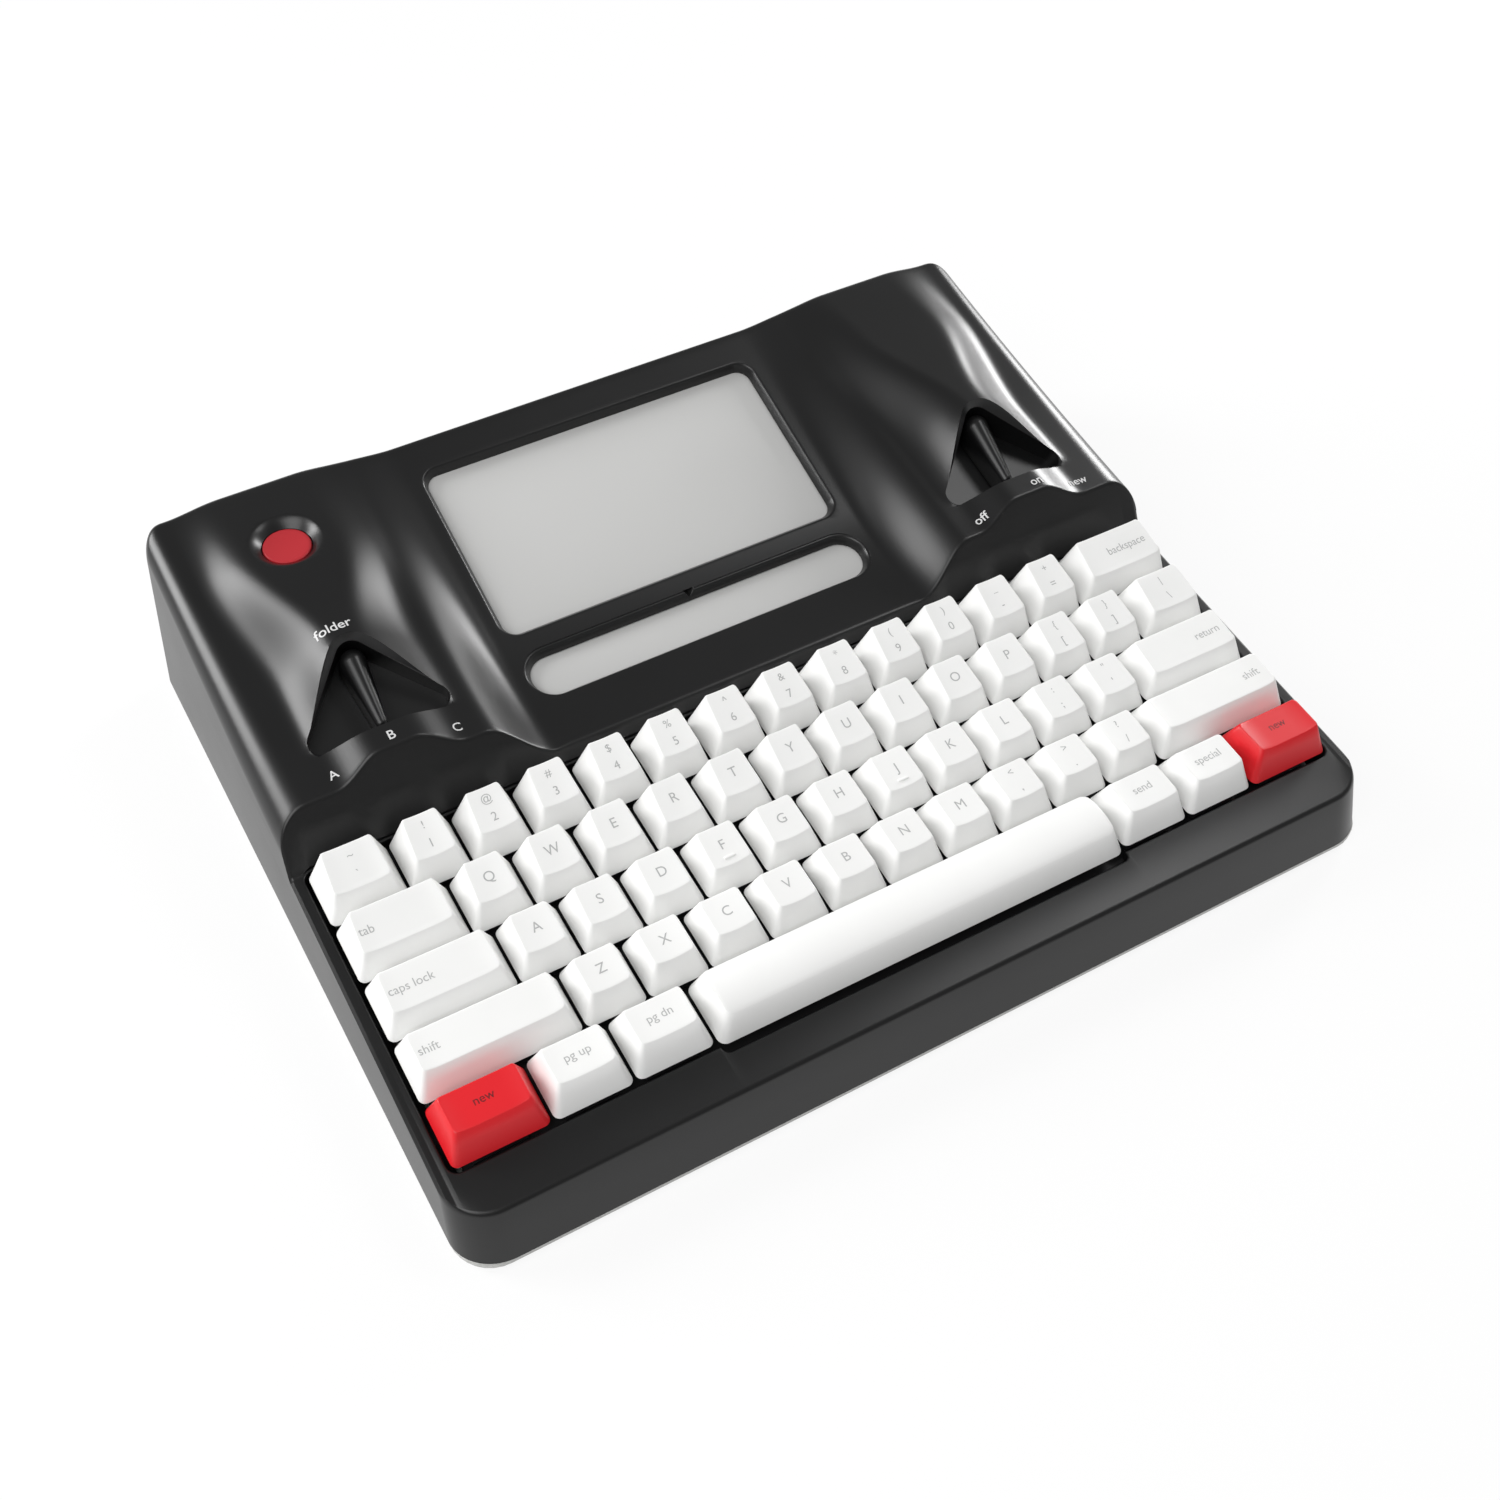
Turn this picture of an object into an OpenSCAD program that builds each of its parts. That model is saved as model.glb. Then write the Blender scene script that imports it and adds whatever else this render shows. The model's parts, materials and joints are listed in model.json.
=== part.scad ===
// Electronic word processor: a full keyboard, two grey displays and two selector levers.
// +X is to the right, +Y to the back, +Z up; the origin is on the table under the middle of the foot.

/* [Housing] */
// Width of the housing beside the key field, at its foot
side_margin = 6.425; // [5.925:0.1:9]
// Depth of the housing at its foot, front to back
body_d = 233.8; // [230:0.2:242]
// Height of the ridge of the pods above the table
body_h = 65; // [64:0.5:68]
// Radius of the housing's front corners in plan
corner_r = 12; // [9:0.5:16]
// Radius of the housing's rear corners in plan
rear_r = 8; // [6:0.5:12]
// Thickness of the top housing's walls
wall = 3; // [2.6:0.1:3.2]
// Lean of the side walls off vertical, in degrees
side_draft = 4.7; // [3:0.1:5.5]
// Lean of the front wall off vertical, in degrees
front_lean = 21; // [16:0.5:23]

/* [Keyboard] */
// Distance from one key to the next
pitch = 19.05; // [18.9:0.05:19.1]
// Gap between two keycaps at their foot
key_gap = 0.95; // [0.8:0.05:1.2]
// Tilt of the key field, in degrees
key_tilt = 5.35; // [4:0.05:6]
// Height of the front row's keycap feet above the table
key_z = 22; // [21.5:0.1:23]
// Distance from the housing's front foot to the key field
key_setback = 20.2; // [19.6:0.1:22]
// Travel of a key
key_travel = 4; // [3:0.1:4]
// Thickness of the key mounting plate
plate_t = 1.5; // [1.2:0.1:1.6]

/* [Deck and displays] */
// Distance of the deck's rear edge below the ridge of the pods
deck_drop = 3; // [2.5:0.1:6]
// Width of both display openings
window_w = 118.6; // [112:0.2:119]
// Height of the main display opening along the slope
window_h = 63.4; // [58:0.2:64]
// Height of the status display opening
status_h = 16.9; // [14:0.1:17]
// Depth of the bevel round the display openings
bevel_depth = 2.4; // [1.6:0.1:2.5]

/* [Pods] */
// Distance of each pod's ridge from the housing's side
pod_margin = 42.3; // [41.5:0.1:43]
// Height of the pods' shoulders at their front lip
lip_z = 47.3; // [46:0.1:48.5]
// Radius that rounds the pods' outer shoulders at the lip
shoulder_r = 10; // [7:0.5:11]
// Height of the dial swelling at the front lip
dial_rise = 5.5; // [3:0.1:6]
// Lean of the pods' front faces, run per unit of rise
face_lean = 0.55; // [0.45:0.01:0.6]

/* [Levers and button] */
// Distance between the centres of a lever's two rounded ends
lever_len = 19.5; // [17:0.1:20]
// Radius of a lever's broad end
lever_r = 3.9; // [3:0.1:4.1]
// Radius of a lever's narrow end
tip_r = 1.9; // [1.2:0.1:2.1]
// Tilt of the levers' sweep, in degrees
sweep_tilt = 21; // [19:0.5:22]
// Radius of the power button
button_r = 7.3; // [6:0.1:7.5]
// Travel of the power button
button_travel = 1.2; // [0.8:0.1:1.3]

/* [Handle and foot] */
// Width of the carry handle
handle_w = 140; // [110:1:150]
// Height of the grey base's visible edge
base_edge = 2.8; // [2.4:0.1:3]
// Radius of a rubber foot
foot_r = 9; // [6:0.5:10]

/* [Hidden] */
$fn = 48;
eps = 0.01;

// Colours
black_c = [0.07, 0.07, 0.075];
white_c = [0.93, 0.93, 0.92];
red_c = [0.75, 0.06, 0.07];
grey_c = [0.72, 0.72, 0.7];
screen_c = [0.76, 0.76, 0.74];
steel_c = [0.6, 0.61, 0.63];
board_c = [0.08, 0.3, 0.16];
rubber_c = [0.15, 0.15, 0.15];

// Heights of the foot: the feet, the grey base and the seam above it
foot_h = 1.2;
seam_z = foot_h + base_edge;
field_w = 15 * pitch;
body_w = field_w + 2 * side_margin;
half_w = body_w / 2;
half_d = body_d / 2;
ref_z = 46;
function side_x(z) = half_w - tan(side_draft) * (z - seam_z);
ref_x = side_x(ref_z);
function front_y(z) = -half_d + tan(front_lean) * (z - seam_z);
back_draft = 1;
function back_y(z) = half_d - tan(back_draft) * (z - seam_z);

// Key field: origin in the middle of the front row's front edge, at the keycaps' feet
key_y = -half_d + key_setback;
field_d = 5 * pitch;
land_drop = 0.5;
function land_z(y) = key_z - land_drop / cos(key_tilt) + tan(key_tilt) * (y - key_y);
module key_frame() {
  translate([0, key_y, key_z]) rotate([key_tilt, 0, 0]) children();
}
// Gap between the outer keycaps' cells and the well
well_side = 0.5;
well_front = 0.4;
well_back = 0.8;
well_r = 3;
well_floor = 6.5;
ledge = 8.5;

// Foot of the faces behind the last key row
foot_yk = field_d + well_back;
face_y = key_y + foot_yk * cos(key_tilt);
face_z = land_z(face_y);

// Deck: level strip, then a bend, then the display slope
deck_step = 5.1;
deck_z0 = face_z + deck_step;
bend_start = face_y + 12.6;
bend_end = bend_start + 31.5;
back_top_y = half_d - 1;
deck_k = (body_h - deck_drop - deck_z0) / ((bend_end - bend_start) / 2 + back_top_y - bend_end);
deck_slope = atan(deck_k);
function deck_z(y) =
  y < bend_start ? deck_z0 :
  y < bend_end ? deck_z0 + deck_k * pow(y - bend_start, 2) / (2 * (bend_end - bend_start)) :
  deck_z0 + deck_k * ((bend_end - bend_start) / 2 + (y - bend_end));

pod_x = half_w - pod_margin;
// Pods: shoulder line from the lip to the back, with a slight sag
lip_y = face_y + face_lean * (lip_z - face_z);
shoulder_back = body_h - 1.5;
shoulder_sag = 1.2;
function shoulder_z(y) =
  let (t = (y - lip_y) / (back_top_y - lip_y))
  lip_z + (shoulder_back - lip_z) * t - 4 * shoulder_sag * t * (1 - t);

function clamp01(t) = max(0, min(1, t));
function smooth(t) = let (c = clamp01(t)) c * c * (3 - 2 * c);

// The pod's inner side falls to the deck between these distances from the middle
fall_in = 62.4;
fall_out = 82.4;
// Swelling of the dial between the lip and the recess, and the ridge behind the recess
dial_half = 20;
dial_flat = 5;
dial_end = lip_y + 12.9;
dial_fade = 5;
ridge_start = dial_end + 2.5;
ridge_y0 = dial_end + 23.6;
ridge_y1 = ridge_y0 + 44;
function ridge_flat(y) = 2 + 10 * smooth((y - ridge_y0) / (ridge_y1 - ridge_y0));
function ridge_half(y) = 24 + 6 * smooth((y - ridge_y0) / (ridge_y1 - ridge_y0));
function dial(d, y) =
  dial_rise * smooth((dial_half - d) / (dial_half - dial_flat)) * (1 - smooth((y - dial_end) / dial_fade));
function ridge(d, y) =
  (body_h - shoulder_z(y)) * clamp01((y - dial_end) / (ridge_start - dial_end))
  * smooth((ridge_half(y) - d) / (ridge_half(y) - ridge_flat(y)));
function pod_z(a, y) =
  let (d = abs(a - pod_x))
  deck_z(y) + (shoulder_z(y) - deck_z(y)) * smooth((a - fall_in) / (fall_out - fall_in))
  + dial(d, y) + ridge(d, y);
// Rounding of an edge of radius r at distance d from it
function round_drop(d, r) = d >= r ? 0 : r - sqrt(r * r - (r - max(d, 0)) * (r - max(d, 0)));
shoulder_r_back = 6;
function edge_r(y) =
  shoulder_r + (shoulder_r_back - shoulder_r) * clamp01((y - lip_y) / (half_d - lip_y));
function top_z(a, y) = pod_z(a, y) - round_drop(ref_x - a, edge_r(y));

// Skin of the housing: one profile from the front foot over the top to the back foot for each
// distance a from the middle
crease_r = 1.2;
crest_r = 0.9;
back_r = 3;
crest_rows = 3;
rear_rows = 14;
land_round = 0.8;
function corner_in(a, r) = round_drop(ref_x - a, r);
function out_x(a, z) = a + (side_x(z) - ref_x) * clamp01((a - 125) / (ref_x - 125));
function crest_y(a, n = 4) =
  n == 0 ? lip_y : let (y = crest_y(a, n - 1)) face_y + face_lean * (top_z(a, y) - face_z);
function rear_y(a) = back_y(body_h) - corner_in(a, rear_r);
function profile(a, z0) =
  let (ci = corner_in(a, corner_r),
       zc = land_z(front_y(20.5)),
       yc = front_y(zc) + ci,
       ri = max(0, land_round - (ref_x - a)),
       zf = face_z - ri,
       yr = crest_y(a),
       zr = top_z(a, yr),
       zrf = max(zr - crest_r, zf + 0.3),
       yb = rear_y(a))
  concat(
    [[front_y(z0) + ci, z0],
     [yc - crease_r * 0.45, zc - crease_r],
     [yc, zc - crease_r * 0.35],
     [yc + crease_r, land_z(yc + crease_r) - ri],
     [face_y, zf],
     [face_y + face_lean * (zrf - zf), zrf],
     [yr + crest_r * 0.25, zr - crest_r * 0.3]],
    [for (j = [1:crest_rows])
      let (y = yr + crest_r + (dial_end - yr - crest_r) * (j - 1) / crest_rows) [y, top_z(a, y)]],
    [for (j = [0:rear_rows])
      let (y = dial_end + (yb - back_r - dial_end) * pow(j / rear_rows, 1.25)) [y, top_z(a, y)]],
    [for (k = [60, 30, 0])
      let (y = yb - back_r + back_r * cos(k)) [y, top_z(a, y) - back_r * (1 - sin(k))]],
    [[back_y(z0) - corner_in(a, rear_r), z0]]);

// Distances from the middle at which profiles are taken; between the first two nothing changes
flat_half = 58;
steps = concat([flat_half],
  [for (a = [61:3:85]) a],
  [for (a = [88:3:ref_x - shoulder_r - 1.5]) a],
  [for (q = [90, 66, 47, 32, 20, 11, 4, 0]) ref_x - shoulder_r + shoulder_r * cos(q)]);
module skin() {
  n = len(steps);
  stations = concat([for (i = [n - 1:-1:0]) -steps[i]], steps);
  m = len(stations);
  rows = len(profile(0, seam_z));
  pts = [for (a = stations) for (p = profile(abs(a), seam_z)) [sign(a) * out_x(abs(a), p[1]), p[0], p[1]]];
  lids = [[for (j = [rows - 1:-1:0]) j], [for (j = [0:rows - 1]) (m - 1) * rows + j]];
  under = [concat([for (i = [0:m - 1]) i * rows], [for (i = [m - 1:-1:0]) i * rows + rows - 1])];
  flat = [for (j = [0:rows - 2]) let (p = (n - 1) * rows + j) [p, p + 1, p + rows + 1, p + rows]];
  over = [for (i = [0:m - 2]) if (i != n - 1) for (j = [0:rows - 2]) for (h = [0, 1])
    let (p = i * rows + j)
    h == 0 ? [p, p + 1, p + rows] : [p + 1, p + rows + 1, p + rows]];
  polyhedron(pts, concat(lids, under, flat, over), convexity = 10);
}

// Space inside the housing: one low part under the keys and the deck, and one part in each pod
cavity_half = half_w - 9;
cavity_z0 = seam_z - 1;
cavity_back = half_d - wall - 1;
pod_in = fall_out + 2;
pod_out = ref_x - shoulder_r;
face_in = wall * 1.15;
module along_x(w) {
  rotate([90, 0, 90]) linear_extrude(w) children();
}
module cavity() {
  zc = land_z(front_y(20.5)) - wall;
  translate([-cavity_half, 0, 0]) along_x(2 * cavity_half) polygon(concat(
    [[front_y(cavity_z0) + wall * 1.1, cavity_z0],
     [front_y(zc) + wall * 1.1, zc],
     [face_y + face_in, face_z - wall],
     [face_y + face_in + face_lean * deck_step, deck_z0 - wall]],
    [for (y = [bend_start, (bend_start + bend_end) / 2, bend_end, cavity_back]) [y, deck_z(y) - wall * 1.05]],
    [[cavity_back, cavity_z0]]));
  for (m = [0, 1]) mirror([m, 0, 0]) translate([pod_in, 0, 0]) along_x(pod_out - pod_in) polygon(concat(
    [[face_y + face_in, face_z - wall - 1],
     [lip_y + face_in, lip_z - wall]],
    [for (t = [0.3, 0.6, 1]) let (y = lip_y + (cavity_back - lip_y) * t) [y, shoulder_z(y) - wall]],
    [[cavity_back, face_z - wall - 1]]));
}

// Flat shapes used again and again
module rounded(w, d, r) {
  rr = min(r, w / 2 - eps, d / 2 - eps);
  square([w - 2 * rr, d], center = true);
  square([w, d - 2 * rr], center = true);
  for (sx = [-1, 1], sy = [-1, 1]) translate([sx * (w / 2 - rr), sy * (d / 2 - rr)]) circle(r = rr);
}
function arc(c, r, a0, a1, n = 8) =
  [for (k = [0:n]) let (t = a0 + (a1 - a0) * k / n) c + r * [cos(t), sin(t)]];
function rounded_pts(w, d, r) =
  let (x = w / 2 - r, y = d / 2 - r)
  concat(arc([x, -y], r, -90, 0), arc([x, y], r, 0, 90), arc([-x, y], r, 90, 180), arc([-x, -y], r, 180, 270));
// Solid through outlines of equally many points, each with its height
module stack(layers) {
  n = len(layers[0][0]);
  m = len(layers);
  pts = [for (l = layers) for (p = l[0]) [p[0], p[1], l[1]]];
  walls = [for (k = [0:m - 2]) for (i = [0:n - 1]) for (h = [0, 1])
    let (a = k * n + i, b = k * n + (i + 1) % n) h == 0 ? [a, n + a, b] : [b, n + a, n + b]];
  polyhedron(pts, concat([[for (i = [0:n - 1]) i], [for (i = [n - 1:-1:0]) (m - 1) * n + i]], walls));
}
module slab(w, d, r, z0, z1) {
  translate([0, 0, z0]) linear_extrude(z1 - z0) rounded(w, d, r);
}

// Frames of the main window, the status window and the levers
main_y = bend_end + 30.4;
status_y = bend_start + 16.8;
status_tilt = atan(deck_k * (status_y - bend_start) / (bend_end - bend_start));
module main_frame() {
  translate([0, main_y, deck_z(main_y)]) rotate([deck_slope, 0, 0]) children();
}
module status_frame() {
  translate([0, status_y, deck_z(status_y)]) rotate([status_tilt, 0, 0]) children();
}
bevel_in = 1.5;
lens_t = 1.8;
panel_t = 1.2;
seat = bevel_depth + 0.6;

// Opening with a bevelled rim, cut down from the deck
module window_cut(w, h, r) {
  grow = bevel_in / bevel_depth * 2;
  foot = rounded_pts(w - 2 * bevel_in, h - 2 * bevel_in, r - bevel_in);
  stack([[foot, -seat - 1], [foot, -bevel_depth], [rounded_pts(w + 2 * grow, h + 2 * grow, r + grow), 2]]);
}
main_r = 6;
status_r = status_h / 2;
lens_w = window_w + 1;
lens_h = window_h + 1;
status_lens_h = status_h + 0.6;

// Levers: pivot, sweep frame and the three-cornered recess
pivot_y = dial_end + 20.3;
pivot_z = body_h - 8.4;
shaft_r = 3;
shaft_fit = 0.05;
floor_z = -6.5;
floor_t = 3;
lever_gap = 0.4;
selector_half = 8;
selector_h = 7;
module lever_frame(side) {
  translate([side * pod_x, pivot_y, pivot_z]) rotate([sweep_tilt, 0, 0]) children();
}
recess_x = 17.6;
recess_y = -18.2;
recess_r = 3.8;
apex_r = 4.9;
apex_y = 0.2;
rim_tilt = 32.5;
rim_bevel = 1.8;
// Tangents of the three corner circles
side_len = norm([recess_x, apex_y - recess_y]);
side_turn = atan2(apex_y - recess_y, -recess_x) - acos((recess_r - apex_r) / side_len);
function recess_pts(grow) = concat(
  arc([recess_x, recess_y], recess_r + grow, -90, side_turn),
  arc([0, apex_y], apex_r + grow, side_turn, 180 - side_turn),
  arc([-recess_x, recess_y], recess_r + grow, 180 - side_turn, 270));
module recess_cut() {
  translate([0, 0, floor_z]) linear_extrude(30) polygon(recess_pts(0));
}
// Bevel of the recess in the plane of its rim, along its two sides and round its rear corner
module rim_cut(side) {
  intersection() {
    translate([side * pod_x, ridge_y0 - 0.2, body_h - 0.4]) rotate([rim_tilt, 0, 0]) translate([0, -6, 0])
      stack([[recess_pts(-0.3), -rim_bevel - 0.3], [recess_pts(rim_bevel + 3), 3]]);
    translate([side * pod_x - 40, dial_end - 0.4, 0]) cube([80, 60, 2 * body_h]);
  }
}

// Power button in the left pod
button_x = -(pod_x + 0.6);
button_y = ridge_y1 - 0.6;
dish_r = 9.7;
dish_depth = 2.6;
button_gap = 0.3;
button_top = body_h - 2.2;
flange_r = button_r + 1.5;
flange_z = body_h - 4.8;
flange_t = 2;
tact_h = 4;
power_w = 26;
power_d = 24;
power_front = 17;
power_screw_x = power_w / 2 - 4;
power_screw_y = -power_front + 4;
tact_z = flange_z - flange_t - tact_h - button_travel - 1.8;
stem_low = tact_z + tact_h + button_travel + 0.3;

// Handle pocket in the back wall
pocket_w = handle_w + 3;
pocket_z0 = 15.5;
pocket_z1 = 44;
pocket_d = 13;
pocket_wall = 3.4;
pocket_front = half_d - pocket_d - pocket_wall;
bar_t = 8;
pin_z = 39;
pin_r = 2;
pin_fit = 0.05;
pin_y = back_y(pin_z) - bar_t / 2 - 0.6;
drop_len = 18;

// Screw posts between base and top, and the seats of the boards
post_x = [5.3 - cavity_half, cavity_half - 5.3];
post_y = [12.9 - half_d, face_y + 21, half_d - 20.9];
post_r = 4.2;
screw_r = 1.5;
head_r = 2.9;
head_h = 1.8;
tray_floor = foot_h + 2.4;
tray_in_w = 2 * cavity_half - 4.8;
tray_in_d = body_d - 2 * wall - 7.4;
post_top = seam_z + 1.2;
board_z = 12;
board_t = 1.6;
// Room for the board and the battery between the last key row and the handle's pocket
rear_room = pocket_front - face_y;
board_w = 120;
board_d = rear_room - 37.6;
board_x = 20;
board_y = pocket_front - 9.6 - board_d / 2;
socket_h = 2.5;
socket_y = board_d / 4;

module upper_shell() {
  color(black_c) difference() {
    skin();
    difference() {
      cavity();
      shell_keeps();
    }
    key_frame() translate([0, (foot_yk - well_front) / 2, -well_floor - 1]) linear_extrude(well_floor + 4)
      well_outline();
    main_frame() {
      window_cut(window_w, window_h, main_r);
      slab(lens_w + 0.4, lens_h + 0.4, main_r + 0.5, -seat - 8.5, -seat);
    }
    status_frame() {
      window_cut(window_w, status_h, status_r);
      slab(lens_w + 0.4, status_lens_h + 0.4, status_r, -seat - 9, -seat);
      translate([0, status_h / 2 - 1.6, 0.4]) rotate([0, 45, 0]) cube([2.6, 6, 2.6], center = true);
    }
    for (side = [-1, 1]) {
      lever_frame(side) {
        recess_cut();
        translate([0, 0, floor_z - floor_t - 1]) cylinder(r = shaft_r + shaft_fit, h = floor_t + 2);
        translate([-selector_half - 0.6, -selector_half - 0.6, floor_z - floor_t - selector_h - 2])
          cube([2 * selector_half + 1.2, 2 * selector_half + 6, selector_h + 2]);
      }
      rim_cut(side);
    }
    translate([button_x, button_y, 0]) {
      translate([0, 0, body_h - dish_depth])
        cylinder(r1 = button_r + button_gap, r2 = dish_r + 0.4, h = dish_depth + 0.6);
      translate([0, 0, body_h - 12]) cylinder(r = button_r + button_gap, h = 14);
      translate([0, 0, tact_z]) cylinder(r = flange_r + button_gap, h = flange_z + button_gap - tact_z);
      translate([-power_w / 2 - 0.4, -power_front - 0.4, tact_z - board_t - 8])
        cube([power_w + 0.8, power_d + 0.8, board_t + 8]);
    }
    handle_pocket();
    for (x = post_x, y = post_y) translate([x, y, 0]) cylinder(r = screw_r, h = post_top + 9);
    port_cut();
    screw_holes();
  }
}
module well_outline() {
  rounded(field_w + 2 * well_side, foot_yk + well_front, well_r);
  translate([0.5, -foot_yk / 2 - well_front / 2]) rounded(7 * pitch - 0.6, 5, 2);
}
// Solid stays in the cavity here: ledge round the keys, window frames, recesses, posts
module shell_keeps() {
  key_frame() difference() {
    translate([-half_w, -ledge, -well_floor]) cube([2 * half_w, foot_yk + 2 * ledge, well_floor + 8]);
    translate([-half_w, foot_yk + ledge, -well_floor - 1]) cube([2 * half_w, ledge + 1, well_floor + 10]);
  }
  main_frame() slab(lens_w + 7, lens_h + 6, main_r + 3, -seat - 2.4, 3);
  status_frame() slab(lens_w + 7, status_lens_h + 5, status_r + 2, -seat - 2.4, 3);
  for (side = [-1, 1]) lever_frame(side) translate([0, 0, floor_z - floor_t]) linear_extrude(30)
    polygon(recess_pts(2.6));
  for (sx = [-1, 1]) translate([button_x + sx * power_screw_x, button_y + power_screw_y, tact_z])
    cylinder(r = 2.6, h = 30);
  for (x = post_x, y = post_y) translate([x, y, post_top]) cylinder(r = post_r, h = 60);
  translate([-pocket_w / 2 - 8, pocket_front, pocket_z0 - 3]) cube([pocket_w + 16, 20, pocket_z1 - pocket_z0 + 6]);
  translate([port_x - 8, half_d - 9, port_z - 4]) cube([16, 12, 9]);
}
module handle_pocket() {
  translate([-pocket_w / 2, half_d - pocket_d, pocket_z0]) cube([pocket_w, 20, pocket_z1 - pocket_z0]);
  for (sx = [-1, 1]) translate([sx * (pocket_w / 2 - eps), pin_y, pin_z]) rotate([0, sx * 90, 0])
    cylinder(r = pin_r, h = 5);
}
port_x = 100;
port_z = 14;
port_w = 9.2;
port_h = 3.4;
port_len = 7.6;
module port_cut() {
  translate([port_x, half_d - 12, port_z]) rotate([-90, 0, 0]) linear_extrude(20) rounded(port_w + 0.3, port_h + 0.3, 1.6);
  translate([port_x, half_d - 1.4, port_z]) rotate([-90, 0, 0]) linear_extrude(8) rounded(13, 7, 2.4);
}
plate_screw_x = [-120, -60, 0, 60, 120];
plate_screw_y = [-well_front - 5, foot_yk + 5];
module screw_holes() {
  key_frame() for (x = plate_screw_x, y = plate_screw_y)
    translate([x, y, -well_floor - 1]) cylinder(r = 1.1, h = 6);
}

// The grey base stands nearly flush with the housing's foot
base_in = 0.15;
base_chamfer = 0.8;
// Outline of the housing's foot, drawn in by g
function foot_pts(g) =
  let (x = half_w - g, y = half_d - g, f = corner_r - g, b = rear_r - g)
  concat(arc([x - f, f - y], f, -90, 0), arc([x - b, y - b], b, 0, 90),
         arc([b - x, y - b], b, 90, 180), arc([f - x, f - y], f, 180, 270));
module base_tray() {
  color(grey_c) difference() {
    union() {
      stack([[foot_pts(base_in + base_chamfer), foot_h], [foot_pts(base_in), foot_h + base_chamfer],
             [foot_pts(base_in), seam_z]]);
      difference() {
        slab(2 * cavity_half - 0.8, body_d - 2 * wall - 3.4, 4, seam_z - eps, seam_z + 3);
        slab(tray_in_w, tray_in_d, 2, seam_z - 1, seam_z + 4);
        for (x = post_x, y = post_y) translate([x, y, post_top]) cylinder(r = post_r + 0.4, h = 10);
      }
    }
    slab(tray_in_w, tray_in_d, 2, tray_floor, seam_z + 4);
    for (x = foot_x, y = foot_y) translate([x, y, 0]) cylinder(r = foot_r + 0.1, h = foot_h + 0.7);
    for (x = post_x, y = post_y) translate([x, y, 0]) {
      cylinder(r = screw_r + 0.2, h = 20);
      cylinder(r = head_r + 0.2, h = foot_h + head_h + 0.2);
    }
  }
  color(grey_c) {
    for (x = post_x, y = post_y) translate([x, y, 0]) difference() {
      translate([0, 0, tray_floor - eps]) cylinder(r = post_r, h = post_top - tray_floor + eps);
      cylinder(r = screw_r + 0.2, h = 20);
    }
    for (p = board_posts) translate([p[0], p[1], 0]) difference() {
      translate([0, 0, tray_floor - eps]) cylinder(r = 3, h = board_z - tray_floor + eps);
      translate([0, 0, tray_floor + 1]) cylinder(r = 1.2, h = 20);
    }
  }
}
foot_x = [post_x[0] + 13, post_x[1] - 13];
foot_y = [-half_d + 22, half_d - 16];
board_posts = [for (sx = [-1, 1], sy = [-1, 1]) [board_x + sx * (board_w / 2 - 5), board_y + sy * (board_d / 2 - 5)]];

module feet() {
  color(rubber_c) for (x = foot_x, y = foot_y) translate([x, y, 0]) {
    cylinder(r1 = foot_r - 0.6, r2 = foot_r, h = 0.6);
    translate([0, 0, 0.6]) cylinder(r = foot_r, h = foot_h);
  }
}
module case_screws() {
  color(steel_c) for (x = post_x, y = post_y) translate([x, y, 0]) difference() {
    union() {
      translate([0, 0, foot_h + 0.2]) cylinder(r = head_r, h = head_h);
      translate([0, 0, foot_h + 1]) cylinder(r = screw_r, h = post_top + 6.5);
    }
    translate([0, 0, foot_h]) cylinder(r = 1, h = 1.2, $fn = 6);
  }
}
module board_screws() {
  color(steel_c) for (p = board_posts) translate([p[0], p[1], board_z + board_t]) difference() {
    union() {
      cylinder(r = 2.2, h = 1.4);
      translate([0, 0, -5]) cylinder(r = 1.2, h = 5.4);
    }
    translate([0, 0, 0.6]) cylinder(r = 0.8, h = 2, $fn = 6);
  }
}
module plate_screws() {
  color(steel_c) key_frame() for (x = plate_screw_x, y = plate_screw_y)
    translate([x, y, -well_floor - plate_t]) difference() {
      union() {
        translate([0, 0, -1.4]) cylinder(r = 2.1, h = 1.4);
        translate([0, 0, -0.4]) cylinder(r = 1.1, h = plate_t + 4.6);
      }
      translate([0, 0, -2]) cylinder(r = 0.8, h = 1.2, $fn = 6);
    }
}

// Keyboard: rows from the back, with each key's left edge and width in units
row_units = [
  concat([[0, 1.25]], [for (i = [0:11]) [1.25 + i, 1]], [[13.25, 1.75]]),
  concat([[0, 1.75]], [for (i = [0:11]) [1.75 + i, 1]], [[13.75, 1.25]]),
  concat([[0, 2]], [for (i = [0:10]) [2 + i, 1]], [[13, 2]]),
  concat([[0, 2.5]], [for (i = [0:9]) [2.5 + i, 1]], [[12.5, 2.5]]),
  [[0, 1.5], [1.5, 1.25], [2.75, 1.25], [4, 7], [11, 1.25], [12.25, 1.25], [13.5, 1.5]]];
function key_cx(row, i) = (row_units[row][i][0] + row_units[row][i][1] / 2 - 7.5) * pitch;
function key_cy(row) = (4.5 - row) * pitch;
// Sculpted rows: height of the top's front and back edges, and the front edge's inset
row_front = [9.5, 8.4, 8.0, 9.0, 9.3];
row_back = [12.6, 10.9, 9.3, 9.1, 8.9];
row_inset = [3.6, 3.8, 4.0, 4.6, 5.1];
back_inset = 2.2;
side_inset = 3.1;
cap_wall = 1.5;
stem_r = 2.75;
stem_reach = 3.4;
cap_corner = 1.5;

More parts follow.
